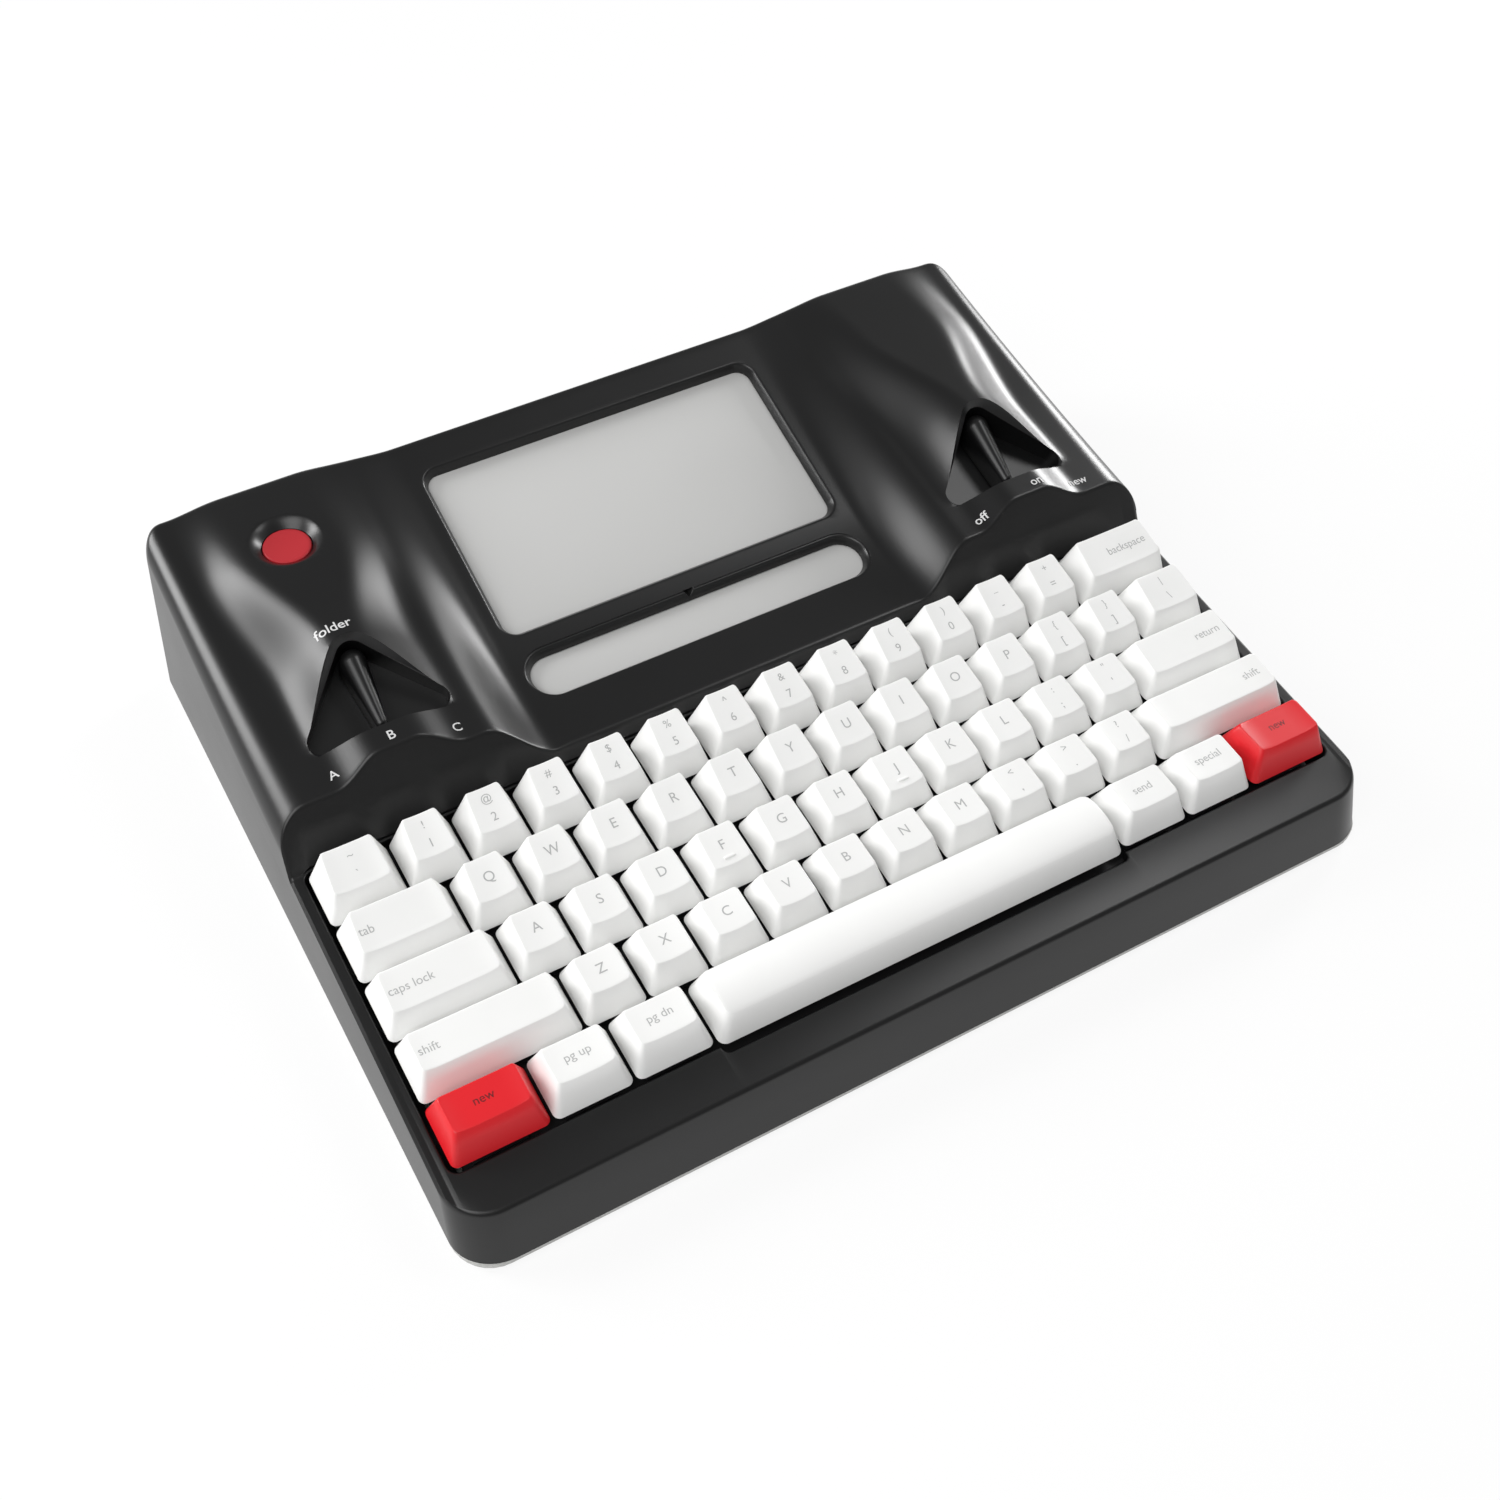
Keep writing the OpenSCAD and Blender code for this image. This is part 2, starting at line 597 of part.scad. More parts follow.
// Side of a keycap as a prism along x, shrunk by g on the inside
module cap_side(w, row, g) {
  d = pitch - key_gap - 2 * g;
  hf = row_front[row];
  hb = row_back[row];
  yf = -pitch / 2 + key_gap / 2 + row_inset[row];
  yb = pitch / 2 - key_gap / 2 - back_inset;
  rotate([90, 0, 90]) linear_extrude(w, center = true)
    polygon([[-d / 2, -g], [d / 2, -g], [yb - g, hb - g], [yf + g, hf - g]]);
}
// Front view of a keycap as a prism along y, carried on above the top
module cap_front(w, row, g) {
  h = row_front[row];
  b = w / 2 - g;
  s = side_inset / h;
  reach = 16;
  rotate([90, 0, 0]) linear_extrude(pitch + 2, center = true)
    polygon([[-b, -g], [b, -g], [b - s * (reach + g), reach], [-b + s * (reach + g), reach]]);
}
// Hollow dished keycap with its stem, in its own cell
module keycap(row, units) {
  w = units * pitch - key_gap;
  hf = row_front[row];
  hb = row_back[row];
  lean = atan((hb - hf) / (pitch - key_gap - row_inset[row] - back_inset));
  ym = (row_inset[row] - back_inset) / 2;
  difference() {
    intersection() {
      cap_side(w, row, 0);
      cap_front(w, row, 0);
      translate([0, 0, -eps]) linear_extrude(16) rounded(w, pitch - key_gap, cap_corner);
    }
    intersection() {
      cap_side(w, row, cap_wall);
      cap_front(w, row, cap_wall);
    }
    translate([0, ym, (hf + hb) / 2]) rotate([lean, 0, 0]) dish(units);
  }
  intersection() {
    difference() {
      translate([0, 0, -stem_reach]) cylinder(r = stem_r, h = stem_reach + min(hf, hb) - 0.9);
      stem_slot();
    }
    translate([0, 0, -10]) cylinder(r = 9, h = 26);
  }
}
// Cross-shaped socket in the foot of a stem
module stem_slot() {
  for (q = [0, 90]) rotate([0, 0, q]) translate([-2.05, -0.6, -stem_reach - 1]) cube([4.1, 1.2, 4.6]);
}
// Hollow of the keycap's top: a cylinder for a narrow key, flat in the middle of a wide one
dish_r_key = 26;
dish_deep = 0.7;
module dish(units) {
  flat = (units - 1) * pitch / 2;
  for (sx = flat > 0 ? [-1, 1] : [0]) translate([sx * flat, 0, dish_r_key - dish_deep])
    rotate([90, 0, 0]) cylinder(r = dish_r_key, h = pitch + 4, center = true, $fn = 96);
  if (flat > 0) translate([-flat, -pitch / 2 - 2, -dish_deep]) cube([2 * flat, pitch + 4, 4]);
}
module key(row, i) {
  key_frame() translate([key_cx(row, i), key_cy(row), 0]) keycap(row, row_units[row][i][1]);
}
module key_row(row, count) {
  for (i = [1:count]) key(row, i);
}

// Space bar: convex top and rounded ends, standing a little forward of its cell
space_front = 1.3;
space_h = 9.6;
module space_profile(g) {
  d = pitch / 2 - key_gap / 2;
  intersection() {
    polygon([[-d - space_front + g, -g], [d - g, -g], [d - 2.2 - g, 14], [-d + 4.6 + g, 14]]);
    translate([-0.4, space_h - 17 - g]) circle(r = 17, $fn = 96);
    translate([-20, -g]) square([40, 30]);
  }
}
module space_ends(w, g) {
  b = w / 2 - g;
  polygon([[-b, -g], [b, -g], [b - 5.6, 14], [-b + 5.6, 14]]);
}
module key_space() {
  w = 7 * pitch - key_gap;
  color(white_c) key_frame() translate([key_cx(4, 3), key_cy(4), 0]) {
    difference() {
      intersection() {
        rotate([90, 0, 90]) linear_extrude(w, center = true) space_profile(0);
        rotate([90, 0, 0]) linear_extrude(40, center = true) space_ends(w, 0);
        translate([0, -space_front / 2, -1]) linear_extrude(20)
          rounded(w, pitch - key_gap + space_front, 3);
      }
      intersection() {
        rotate([90, 0, 90]) linear_extrude(w, center = true) space_profile(cap_wall);
        rotate([90, 0, 0]) linear_extrude(40, center = true) space_ends(w, cap_wall);
      }
    }
    difference() {
      translate([0, 0, -stem_reach]) cylinder(r = stem_r, h = stem_reach + space_h - 1);
      stem_slot();
    }
  }
}
module key_tilde() { color(white_c) key(0, 0); }
module key_backspace() { color(white_c) key(0, 13); }
module key_tab() { color(white_c) key(1, 0); }
module key_backslash() { color(white_c) key(1, 13); }
module key_caps() { color(white_c) key(2, 0); }
module key_return() { color(white_c) key(2, 12); }
module key_shift_left() { color(white_c) key(3, 0); }
module key_shift_right() { color(white_c) key(3, 11); }
module key_red_left() { color(red_c) key(4, 0); }
module key_page_up() { color(white_c) key(4, 1); }
module key_page_down() { color(white_c) key(4, 2); }
module key_send() { color(white_c) key(4, 4); }
module key_special() { color(white_c) key(4, 5); }
module key_red_right() { color(red_c) key(4, 6); }
module keys_number_row() { color(white_c) key_row(0, 12); }
module keys_upper_row() { color(white_c) key_row(1, 12); }
// Raised bars on the two keys that the forefingers rest on
homing_keys = [4, 7];
homing_r = 0.4;
homing_w = 3.4;
module homing_bar(row, i) {
  y = -(pitch - key_gap) / 2 + row_inset[row] + 2.2;
  rise = (row_back[row] - row_front[row]) / (pitch - key_gap - row_inset[row] - back_inset);
  key_frame() translate([key_cx(row, i), key_cy(row) + y, row_front[row] + 2.2 * rise - dish_deep])
    rotate([0, 90, 0]) cylinder(r = homing_r, h = homing_w, center = true, $fn = 24);
}
module keys_home_row() {
  color(white_c) {
    key_row(2, 11);
    for (i = homing_keys) homing_bar(2, i);
  }
}
module keys_lower_row() { color(white_c) key_row(3, 10); }

// Key switches in the plate
hole_w = 14;
module each_key() {
  key_frame() for (row = [0:4], i = [0:len(row_units[row]) - 1])
    translate([key_cx(row, i), key_cy(row), 0]) children();
}
module key_switches() {
  color([0.2, 0.2, 0.22]) each_key() difference() {
    union() {
      intersection() {
        rotate([90, 0, 90]) linear_extrude(20, center = true)
          polygon([[-6.8, -well_floor + 0.9], [6.8, -well_floor + 0.9], [4.7, -0.7], [-4.7, -0.7]]);
        rotate([90, 0, 0]) linear_extrude(20, center = true)
          polygon([[-6.8, -well_floor + 0.9], [6.8, -well_floor + 0.9], [4.7, -0.7], [-4.7, -0.7]]);
      }
      translate([-7.8, -7.8, -well_floor]) cube([15.6, 15.6, 1]);
      translate([-6.9, -6.9, -well_floor - 5]) cube([13.8, 13.8, 5.5]);
    }
    translate([0, 0, -stem_reach - key_travel - 0.8]) cylinder(r = stem_r + 0.4, h = 12, $fn = 32);
  }
}
module key_plate() {
  w = 2 * (cavity_half - 1);
  y0 = -well_front - ledge + 1;
  y1 = foot_yk + ledge - 1;
  color(steel_c) difference() {
    key_frame() translate([0, (y0 + y1) / 2, -well_floor - plate_t]) linear_extrude(plate_t) rounded(w, y1 - y0, 3);
    each_key() translate([-hole_w / 2, -hole_w / 2, -well_floor - 3]) cube([hole_w, hole_w, 5]);
    key_frame() for (x = plate_screw_x, y = plate_screw_y)
      translate([x, y, -well_floor - 3]) cylinder(r = 1.2, h = 5);
    for (m = [0, 1]) mirror([m, 0, 0]) translate([post_x[1] - post_r - 0.6, post_y[0] - 12, 0])
      cube([30, 12 + post_r + 0.6, 60]);
  }
}
key_board_z = -well_floor - 5 - board_t;
module key_board() {
  color(board_c) key_frame() {
    difference() {
      translate([0, field_d / 2, key_board_z]) linear_extrude(board_t) rounded(2 * (cavity_half - 2.5), field_d + 3, 2);
      for (row = [0:4], i = [0:len(row_units[row]) - 1])
        translate([key_cx(row, i), key_cy(row), key_board_z - 1]) cylinder(r = 2, h = 4, $fn = 24);
    }
    translate([20, field_d - 6, key_board_z - 1.2]) cube([22, 4, 1.2]);
    translate([-30, field_d / 2 - 8, key_board_z - 1]) cube([9, 9, 1]);
  }
}

// Displays
module main_lens() {
  color(screen_c) main_frame() slab(lens_w, lens_h, main_r, -seat - lens_t, -seat);
}
module main_display() {
  color(screen_c) main_frame() slab(lens_w - 3, lens_h - 3, 1, -seat - lens_t - panel_t, -seat - lens_t);
}
module status_lens() {
  color(screen_c) status_frame() slab(lens_w, status_lens_h, status_r, -seat - lens_t, -seat);
}
module status_display() {
  color(screen_c) status_frame()
    slab(lens_w - 14, status_lens_h - 4, 1, -seat - lens_t - panel_t, -seat - lens_t);
}
// Sheet behind the main display with a turned-down stiffening edge
bracket_t = 1.2;
module display_bracket() {
  z1 = -seat - lens_t - panel_t;
  color(steel_c) main_frame() difference() {
    union() {
      slab(lens_w - 1, lens_h - 1, 4, z1 - bracket_t, z1);
      for (sx = [-1, 1]) translate([sx * (lens_w / 2 - 2.6) - bracket_t / 2, 5 - lens_h / 2, z1 - 3 * bracket_t])
        cube([bracket_t, lens_h - 10, 2.2 * bracket_t]);
    }
    slab(70, 30, 4, z1 - 3, z1 + 1);
    translate([-45, 0, 0]) slab(12, 40, 3, z1 - 3, z1 + 1);
    translate([45, 0, 0]) slab(12, 40, 3, z1 - 3, z1 + 1);
  }
}

// Selector lever: tapered round arm with a skirt and a shaft
module lever(side) {
  color(black_c) lever_frame(side) {
    sphere(r = lever_r);
    translate([0, -lever_len, 0]) sphere(r = tip_r);
    rotate([90, 0, 0]) cylinder(r1 = lever_r, r2 = tip_r, h = lever_len);
    translate([0, 0, floor_z + lever_gap]) {
      linear_extrude(-floor_z - lever_gap) polygon([[-lever_r + 0.2, 0], [lever_r - 0.2, 0],
        [tip_r - 0.1, -lever_len], [-tip_r + 0.1, -lever_len]]);
      cylinder(r = lever_r - 0.1, h = -floor_z - lever_gap);
      translate([0, -lever_len, 0]) cylinder(r = tip_r - 0.1, h = -floor_z - lever_gap);
    }
    translate([0, 0, floor_z - floor_t - 6]) cylinder(r = shaft_r, h = floor_t + 6.5);
  }
}
module left_lever() { lever(-1); }
module right_lever() { lever(1); }
// Rotary switch under the recess, round its lever's shaft
module selector(side) {
  color([0.12, 0.2, 0.3]) lever_frame(side) difference() {
    union() {
      translate([-selector_half, -selector_half, floor_z - floor_t - selector_h])
        cube([2 * selector_half, 2 * selector_half, selector_h]);
      for (x = [-5, 0, 5]) translate([x - 0.5, selector_half - 1, floor_z - floor_t - 5]) cube([1, 5, 0.6]);
    }
    translate([0, 0, floor_z - floor_t - selector_h + 0.8]) cylinder(r = shaft_r + shaft_fit, h = selector_h);
  }
}
module left_selector() { selector(-1); }
module right_selector() { selector(1); }

module power_button() {
  color(red_c) translate([button_x, button_y, 0]) {
    translate([0, 0, flange_z - 1]) cylinder(r = button_r - 0.5, h = button_top - flange_z + 1);
    translate([0, 0, flange_z - 1]) cylinder(r = button_r, h = button_top - 0.5 - flange_z + 1);
    translate([0, 0, flange_z - flange_t]) cylinder(r = flange_r, h = flange_t);
    translate([0, 0, stem_low]) cylinder(r = 1.8, h = flange_z - stem_low);
  }
}
module power_switch() {
  color([0.15, 0.15, 0.16]) translate([button_x, button_y, tact_z]) {
    translate([-3, -3, 0]) cube([6, 6, tact_h - 0.5]);
    cylinder(r = 1.6, h = tact_h);
  }
}
module power_board() {
  color(board_c) difference() {
    translate([button_x - power_w / 2, button_y - power_front, tact_z - board_t]) cube([power_w, power_d, board_t]);
    for (sx = [-1, 1]) translate([button_x + sx * power_screw_x, button_y + power_screw_y, tact_z - 5])
      cylinder(r = 1.1, h = 10);
  }
}

// Boards, battery and cables in the rear of the housing
module main_board() {
  color(board_c) difference() {
    translate([board_x, board_y, board_z]) linear_extrude(board_t) rounded(board_w, board_d, 3);
    for (p = board_posts) translate([p[0], p[1], board_z - 1]) cylinder(r = 1.3, h = 4);
  }
  color([0.1, 0.1, 0.11]) translate([board_x, board_y, board_z + board_t - eps]) {
    translate([-20, -8, 0]) cube([15, 15, 1.5]);
    translate([6, -6, 0]) cube([11, 11, 1.2]);
    translate([26, 4, 0]) cube([10, 14, 1.2]);
    translate([-52, -10, 0]) cube([8, 20, 4]);
    translate([-30, socket_y, 0]) cube([18, 6, socket_h]);
    translate([1, 2 - board_d / 2, 0]) cube([22, 4, socket_h]);
  }
}
battery_x = -88;
battery_w = 74;
battery_d = board_d + 2;
battery_h = 9;
module battery() {
  color([0.25, 0.28, 0.34]) translate([battery_x, board_y, tray_floor]) {
    for (y = [-1, 1]) translate([0, y * (battery_d / 4 + 0.2), 0]) {
      translate([0, 0, battery_h / 2]) cube([battery_w - battery_h, battery_d / 2 - 1, battery_h], center = true);
      for (sx = [-1, 1]) translate([sx * (battery_w - battery_h) / 2, 0, battery_h / 2]) rotate([90, 0, 0])
        cylinder(r = battery_h / 2, h = battery_d / 2 - 1, center = true);
    }
    translate([battery_w / 2 - 4, -6, 2]) cube([4, 12, 4]);
  }
}
module battery_strap() {
  w = 14;
  t = 1;
  gap = 0.2;
  color(steel_c) translate([battery_x, board_y, tray_floor]) difference() {
    union() {
      translate([-w / 2, -battery_d / 2 - 10, 0]) cube([w, battery_d + 20, t]);
      translate([-w / 2, -battery_d / 2 - t - gap, 0]) cube([w, battery_d + 2 * (t + gap), battery_h + t + gap]);
    }
    translate([-w, -battery_d / 2 - gap, -1]) cube([2 * w, battery_d + 2 * gap, battery_h + 1 + gap]);
  }
}
ribbon_t = 0.4;
module key_ribbon() {
  // From under the key board's connector to the one on the main board
  z0 = key_z + (field_d - 6) * sin(key_tilt) + (key_board_z - 1.2) * cos(key_tilt) - ribbon_t - 0.1;
  y0 = key_y + (field_d - 6) * cos(key_tilt) + 0.5;
  z1 = board_z + board_t + socket_h + 0.1;
  y1 = board_y + 2 - board_d / 2;
  color([0.85, 0.75, 0.5]) translate([board_x + 1, 0, 0]) rotate([90, 0, 90]) linear_extrude(20)
    polygon([[y0, z0], [y0 + 6, z0], [y1 - 4, z1], [y1 + 4, z1], [y1 + 4, z1 + ribbon_t],
             [y1 - 4.2, z1 + ribbon_t], [y0 + 5.8, z0 + ribbon_t], [y0, z0 + ribbon_t]]);
}
module display_ribbon() {
  // From the main board's rear connector up through the bracket to the display panel
  z0 = board_z + board_t + socket_h + 0.1;
  y0 = board_y + socket_y - 7.5;
  y1 = board_y + socket_y + 4;
  under = (seat + lens_t + panel_t) / cos(deck_slope) + 0.1;
  color([0.85, 0.75, 0.5]) translate([board_x - 28, 0, 0]) rotate([90, 0, 90]) linear_extrude(14)
    polygon([[y0, z0], [y1, z0], [y1, z0 + ribbon_t], [y0 + ribbon_t, z0 + ribbon_t],
             [y0 + ribbon_t, deck_z(y0 + ribbon_t) - under], [y0, deck_z(y0) - under]]);
}
module charge_port() {
  color(steel_c) translate([port_x, half_d - 1.6 - port_len, port_z]) rotate([-90, 0, 0]) {
    linear_extrude(port_len) difference() {
      rounded(port_w, port_h, 1.5);
      rounded(port_w - 0.7, port_h - 0.7, 1.2);
    }
    linear_extrude(1) rounded(port_w, port_h, 1.5);
    translate([-3.2, -0.35, 0]) cube([6.4, 0.7, port_len - 1]);
  }
}

// Carry handle: a bar with two arms, folded down in its pocket
module carry_handle() {
  color(black_c) difference() {
    union() {
      for (sx = [-1, 1]) {
        translate([sx * (handle_w / 2 - 4), pin_y, pin_z]) rotate([0, 90, 0]) cylinder(r = bar_t / 2, h = 8, center = true);
        translate([sx * (handle_w / 2 - 4) - 4, pin_y - bar_t / 2, pin_z - drop_len]) cube([8, bar_t, drop_len]);
        translate([sx * (handle_w / 2 - 4), pin_y, pin_z - drop_len]) rotate([0, 90, 0])
          cylinder(r = bar_t / 2, h = 8, center = true);
      }
      translate([0, pin_y, pin_z - drop_len]) rotate([0, 90, 0]) cylinder(r = bar_t / 2, h = handle_w - 8, center = true);
    }
    for (sx = [-1, 1]) translate([sx * (handle_w / 2 - 4), pin_y, pin_z]) rotate([0, 90, 0])
      cylinder(r = pin_r + pin_fit, h = 12, center = true);
  }
}
module handle_pins() {
  color(steel_c) for (sx = [-1, 1]) translate([sx * (handle_w / 2 - 8), pin_y, pin_z]) rotate([0, sx * 90, 0])
    cylinder(r = pin_r, h = 8 + (pocket_w - handle_w) / 2 + 4.8);
}

upper_shell();
base_tray();
key_plate();
key_switches();
key_board();
plate_screws();
key_tilde();
key_backspace();
key_tab();
key_backslash();
key_caps();
key_return();
key_shift_left();
key_shift_right();
key_red_left();
key_page_up();
key_page_down();
key_space();
key_send();
key_special();
key_red_right();
keys_number_row();
keys_upper_row();
keys_home_row();
keys_lower_row();
main_lens();
main_display();
status_lens();
status_display();
display_bracket();
left_lever();
right_lever();
left_selector();
right_selector();
power_button();
power_switch();
power_board();
main_board();
key_ribbon();
display_ribbon();
battery();
battery_strap();
charge_port();
carry_handle();
handle_pins();
feet();
case_screws();
board_screws();
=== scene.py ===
"""Electronic word processor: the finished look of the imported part."""

import json
import math

import bpy
import numpy as np
from mathutils import Matrix, Vector


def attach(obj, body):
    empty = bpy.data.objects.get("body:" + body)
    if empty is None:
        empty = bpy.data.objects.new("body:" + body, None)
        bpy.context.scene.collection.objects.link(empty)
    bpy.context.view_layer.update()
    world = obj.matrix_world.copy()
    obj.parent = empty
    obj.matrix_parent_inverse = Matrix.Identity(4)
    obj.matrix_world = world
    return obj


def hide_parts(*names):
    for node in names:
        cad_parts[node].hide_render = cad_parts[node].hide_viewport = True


bl_info = {
    "name": "Electronic word processor",
    "version": (1, 0, 0),
    "blender": (4, 5, 0),
    "location": "3D View > Sidebar > Word processor",
    "description": "Builds the finished housing, keys, displays and levers of an electronic word processor",
    "category": "Object",
}

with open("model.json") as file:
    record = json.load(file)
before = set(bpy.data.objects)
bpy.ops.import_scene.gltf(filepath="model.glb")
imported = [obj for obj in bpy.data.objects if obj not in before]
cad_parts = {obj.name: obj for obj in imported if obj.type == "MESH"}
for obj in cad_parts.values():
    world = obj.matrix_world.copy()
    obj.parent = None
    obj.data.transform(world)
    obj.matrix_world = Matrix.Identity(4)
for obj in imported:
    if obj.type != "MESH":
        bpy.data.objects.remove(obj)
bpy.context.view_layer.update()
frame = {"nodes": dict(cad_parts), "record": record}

# All lengths below are in millimetres, in the part's own frame
MM = 0.001
HALF_W, HALF_D, BODY_H = 149.3, 116.9, 65.0
SEAM_Z, REF_Z = 4.0, 46.0
CORNER_R, REAR_R = 12.0, 8.0
SIDE_RUN = math.tan(math.radians(4.7))
FRONT_RUN = math.tan(math.radians(21))
BACK_RUN = math.tan(math.radians(1))

PITCH, KEY_GAP, KEY_TILT = 19.05, 0.95, 5.35
KEY_Y, KEY_Z = -HALF_D + 20.2, 22.0
TILT_SIN, TILT_COS = math.sin(math.radians(KEY_TILT)), math.cos(math.radians(KEY_TILT))
LAND_DROP = 0.5
FIELD_W, FIELD_D = 15 * PITCH, 5 * PITCH
WELL_SIDE, WELL_FRONT, WELL_BACK, WELL_R = 0.5, 0.4, 0.8, 3.0
WELL_EDGE, LAND_EDGE = 0.7, 0.8

DECK_DROP, DECK_RISE = 3.0, 5.1
FACE_LEAN = 0.55
POD_X, LIP_Z = 107.0, 47.3
FALL_IN, FALL_OUT = 62.4, 82.4
DIAL_HALF, DIAL_FLAT, DIAL_RISE = 20.0, 5.0, 5.5
SHOULDER_R, SHOULDER_R_BACK = 10.0, 6.0
SHOULDER_SAG = 1.2
RIDGE_FLAT, RIDGE_FLAT_GROW = 2, 10
RIDGE_HALF, RIDGE_HALF_GROW = 24, 6
# Distances from the middle where the lip's rounding shrinks and where the sides spread
MIDDLE_HALF, SPREAD_FROM = 58.0, 125


def side_x(z):
    return HALF_W - SIDE_RUN * (z - SEAM_Z)


def front_y(z):
    return -HALF_D + FRONT_RUN * (z - SEAM_Z)


def back_y(z):
    return HALF_D - BACK_RUN * (z - SEAM_Z)


def land_z(y):
    return KEY_Z - LAND_DROP / TILT_COS + TILT_SIN / TILT_COS * (y - KEY_Y)


# Height of the crease between the front and the key land, from a first guess of it
CREASE_GUESS = 20.5
CREASE_Z = land_z(front_y(CREASE_GUESS))
REF_X = side_x(REF_Z)
FOOT_YK = FIELD_D + WELL_BACK
FACE_Y = KEY_Y + FOOT_YK * TILT_COS
FACE_Z = land_z(FACE_Y)
DECK_Z0 = FACE_Z + DECK_RISE
BEND_START = FACE_Y + 12.6
BEND_END = BEND_START + 31.5
LIP_Y = FACE_Y + FACE_LEAN * (LIP_Z - FACE_Z)
BACK_TOP_Y = HALF_D - 1
DECK_K = (BODY_H - DECK_DROP - DECK_Z0) / ((BEND_END - BEND_START) / 2 + BACK_TOP_Y - BEND_END)
DECK_SLOPE = math.degrees(math.atan(DECK_K))
SHOULDER_BACK = BODY_H - 1.5
DIAL_END = LIP_Y + 12.9
DIAL_FADE = 5.0
RIDGE_START = DIAL_END + 2.5
RIDGE_Y0 = DIAL_END + 23.6
RIDGE_Y1 = RIDGE_Y0 + 44
MAIN_Y = BEND_END + 30.4
STATUS_Y = BEND_START + 16.8
STATUS_TILT = math.degrees(math.atan(DECK_K * (STATUS_Y - BEND_START) / (BEND_END - BEND_START)))
WINDOW_W, WINDOW_H, STATUS_H = 118.6, 63.4, 16.9
BEVEL_DEPTH, BEVEL_IN = 2.4, 1.5
PIVOT_Y, PIVOT_Z = DIAL_END + 20.3, BODY_H - 8.4
SWEEP_TILT, RIM_TILT, RIM_BEVEL = 21.0, 32.5, 1.8
FLOOR_Z = -6.5
LEVER_LEN, LEVER_R, TIP_R, LEVER_GAP = 19.5, 3.9, 1.9, 0.4
SHAFT_R = 3.0
BUTTON_X, BUTTON_Y, BUTTON_R = -(POD_X + 0.6), RIDGE_Y1 - 0.6, 7.3
BUTTON_TOP, BUTTON_GAP = BODY_H - 2.2, 0.3
HANDLE_W, POCKET_Z0, POCKET_Z1, POCKET_D, POCKET_WALL = 140.0, 15.5, 44.0, 13.0, 3.4
PORT_X, PORT_Z = 100.0, 14.0
# Width, height and corner radius of the charging socket's hole and of the dip round it
PORT_HOLE, PORT_DIP = (9.5, 3.7, 1.6), (13, 7, 2.4)
# Side corners of a lever's recess, with their radius, and the radius and place of its rear corner
RECESS_X, RECESS_Y, RECESS_R = 17.6, -18.2, 3.8
APEX_R, APEX_Y = 4.9, 0.2
# Start, end and step of the profiles along the pod's fall and along the pod
FALL_STATIONS = (59.2, 85.0, 1.2)
POD_STATIONS = (85.4, REF_X - SHOULDER_R - 0.8, 1.5)
SHOULDER_STATIONS = 25
# Radii of the lip, the crease, the foot of the cliff and the back edge
CREST, CREST_LESS, CREST_RUN = 1.5, 0.6, 6
CREASE, FOOT, BACK_EDGE = 1.2, 1.0, 3.0
LIP_POINTS, TOP_POINTS, BACK_POINTS = 13, 55, 9
# Depth of a cutter, and how its rounded edge leaves the surface so that no faces coincide
CUT_DEPTH, CUT_LIFT, CUT_OUT, CUT_UP = 12.0, 0.004, 0.05, 0.06
SHELL_WALL, REACH = 3.0, 20


def clamp01(t):
    return min(max(t, 0.0), 1.0)


def smooth(t):
    c = clamp01(t)
    return c * c * (3 - 2 * c)


def deck_z(y):
    """Height of the display deck: level, then a bend, then the slope."""
    if y < BEND_START:
        return DECK_Z0
    if y < BEND_END:
        return DECK_Z0 + DECK_K * (y - BEND_START) ** 2 / (2 * (BEND_END - BEND_START))
    return DECK_Z0 + DECK_K * ((BEND_END - BEND_START) / 2 + (y - BEND_END))


def shoulder_z(y):
    t = (y - LIP_Y) / (BACK_TOP_Y - LIP_Y)
    return LIP_Z + (SHOULDER_BACK - LIP_Z) * t - 4 * SHOULDER_SAG * t * (1 - t)


def pod_z(a, y):
    """Height of the top surface before its outer edge is rounded."""
    d = abs(a - POD_X)
    dial = DIAL_RISE * smooth((DIAL_HALF - d) / (DIAL_HALF - DIAL_FLAT))
    dial *= 1 - smooth((y - DIAL_END) / DIAL_FADE)
    grow = smooth((y - RIDGE_Y0) / (RIDGE_Y1 - RIDGE_Y0))
    flat, half = RIDGE_FLAT + RIDGE_FLAT_GROW * grow, RIDGE_HALF + RIDGE_HALF_GROW * grow
    ridge = (BODY_H - shoulder_z(y)) * clamp01((y - DIAL_END) / (RIDGE_START - DIAL_END))
    ridge *= smooth((half - d) / (half - flat))
    low = deck_z(y)
    return low + (shoulder_z(y) - low) * smooth((a - FALL_IN) / (FALL_OUT - FALL_IN)) + dial + ridge


def round_drop(d, r):
    return 0.0 if d >= r else r - math.sqrt(r * r - (r - max(d, 0.0)) ** 2)


def edge_r(y):
    return SHOULDER_R + (SHOULDER_R_BACK - SHOULDER_R) * clamp01((y - LIP_Y) / (HALF_D - LIP_Y))


def top_z(a, y):
    return pod_z(a, y) - round_drop(REF_X - a, edge_r(y))


def out_x(a, z):
    return a + (side_x(z) - REF_X) * clamp01((a - SPREAD_FROM) / (REF_X - SPREAD_FROM))


def bezier(p0, p1, p2, n):
    """Points of a quadratic curve, both ends included."""
    p0, p1, p2 = (np.array(p, float) for p in (p0, p1, p2))
    return [tuple((1 - t) ** 2 * p0 + 2 * t * (1 - t) * p1 + t * t * p2) for t in np.linspace(0, 1, n)]


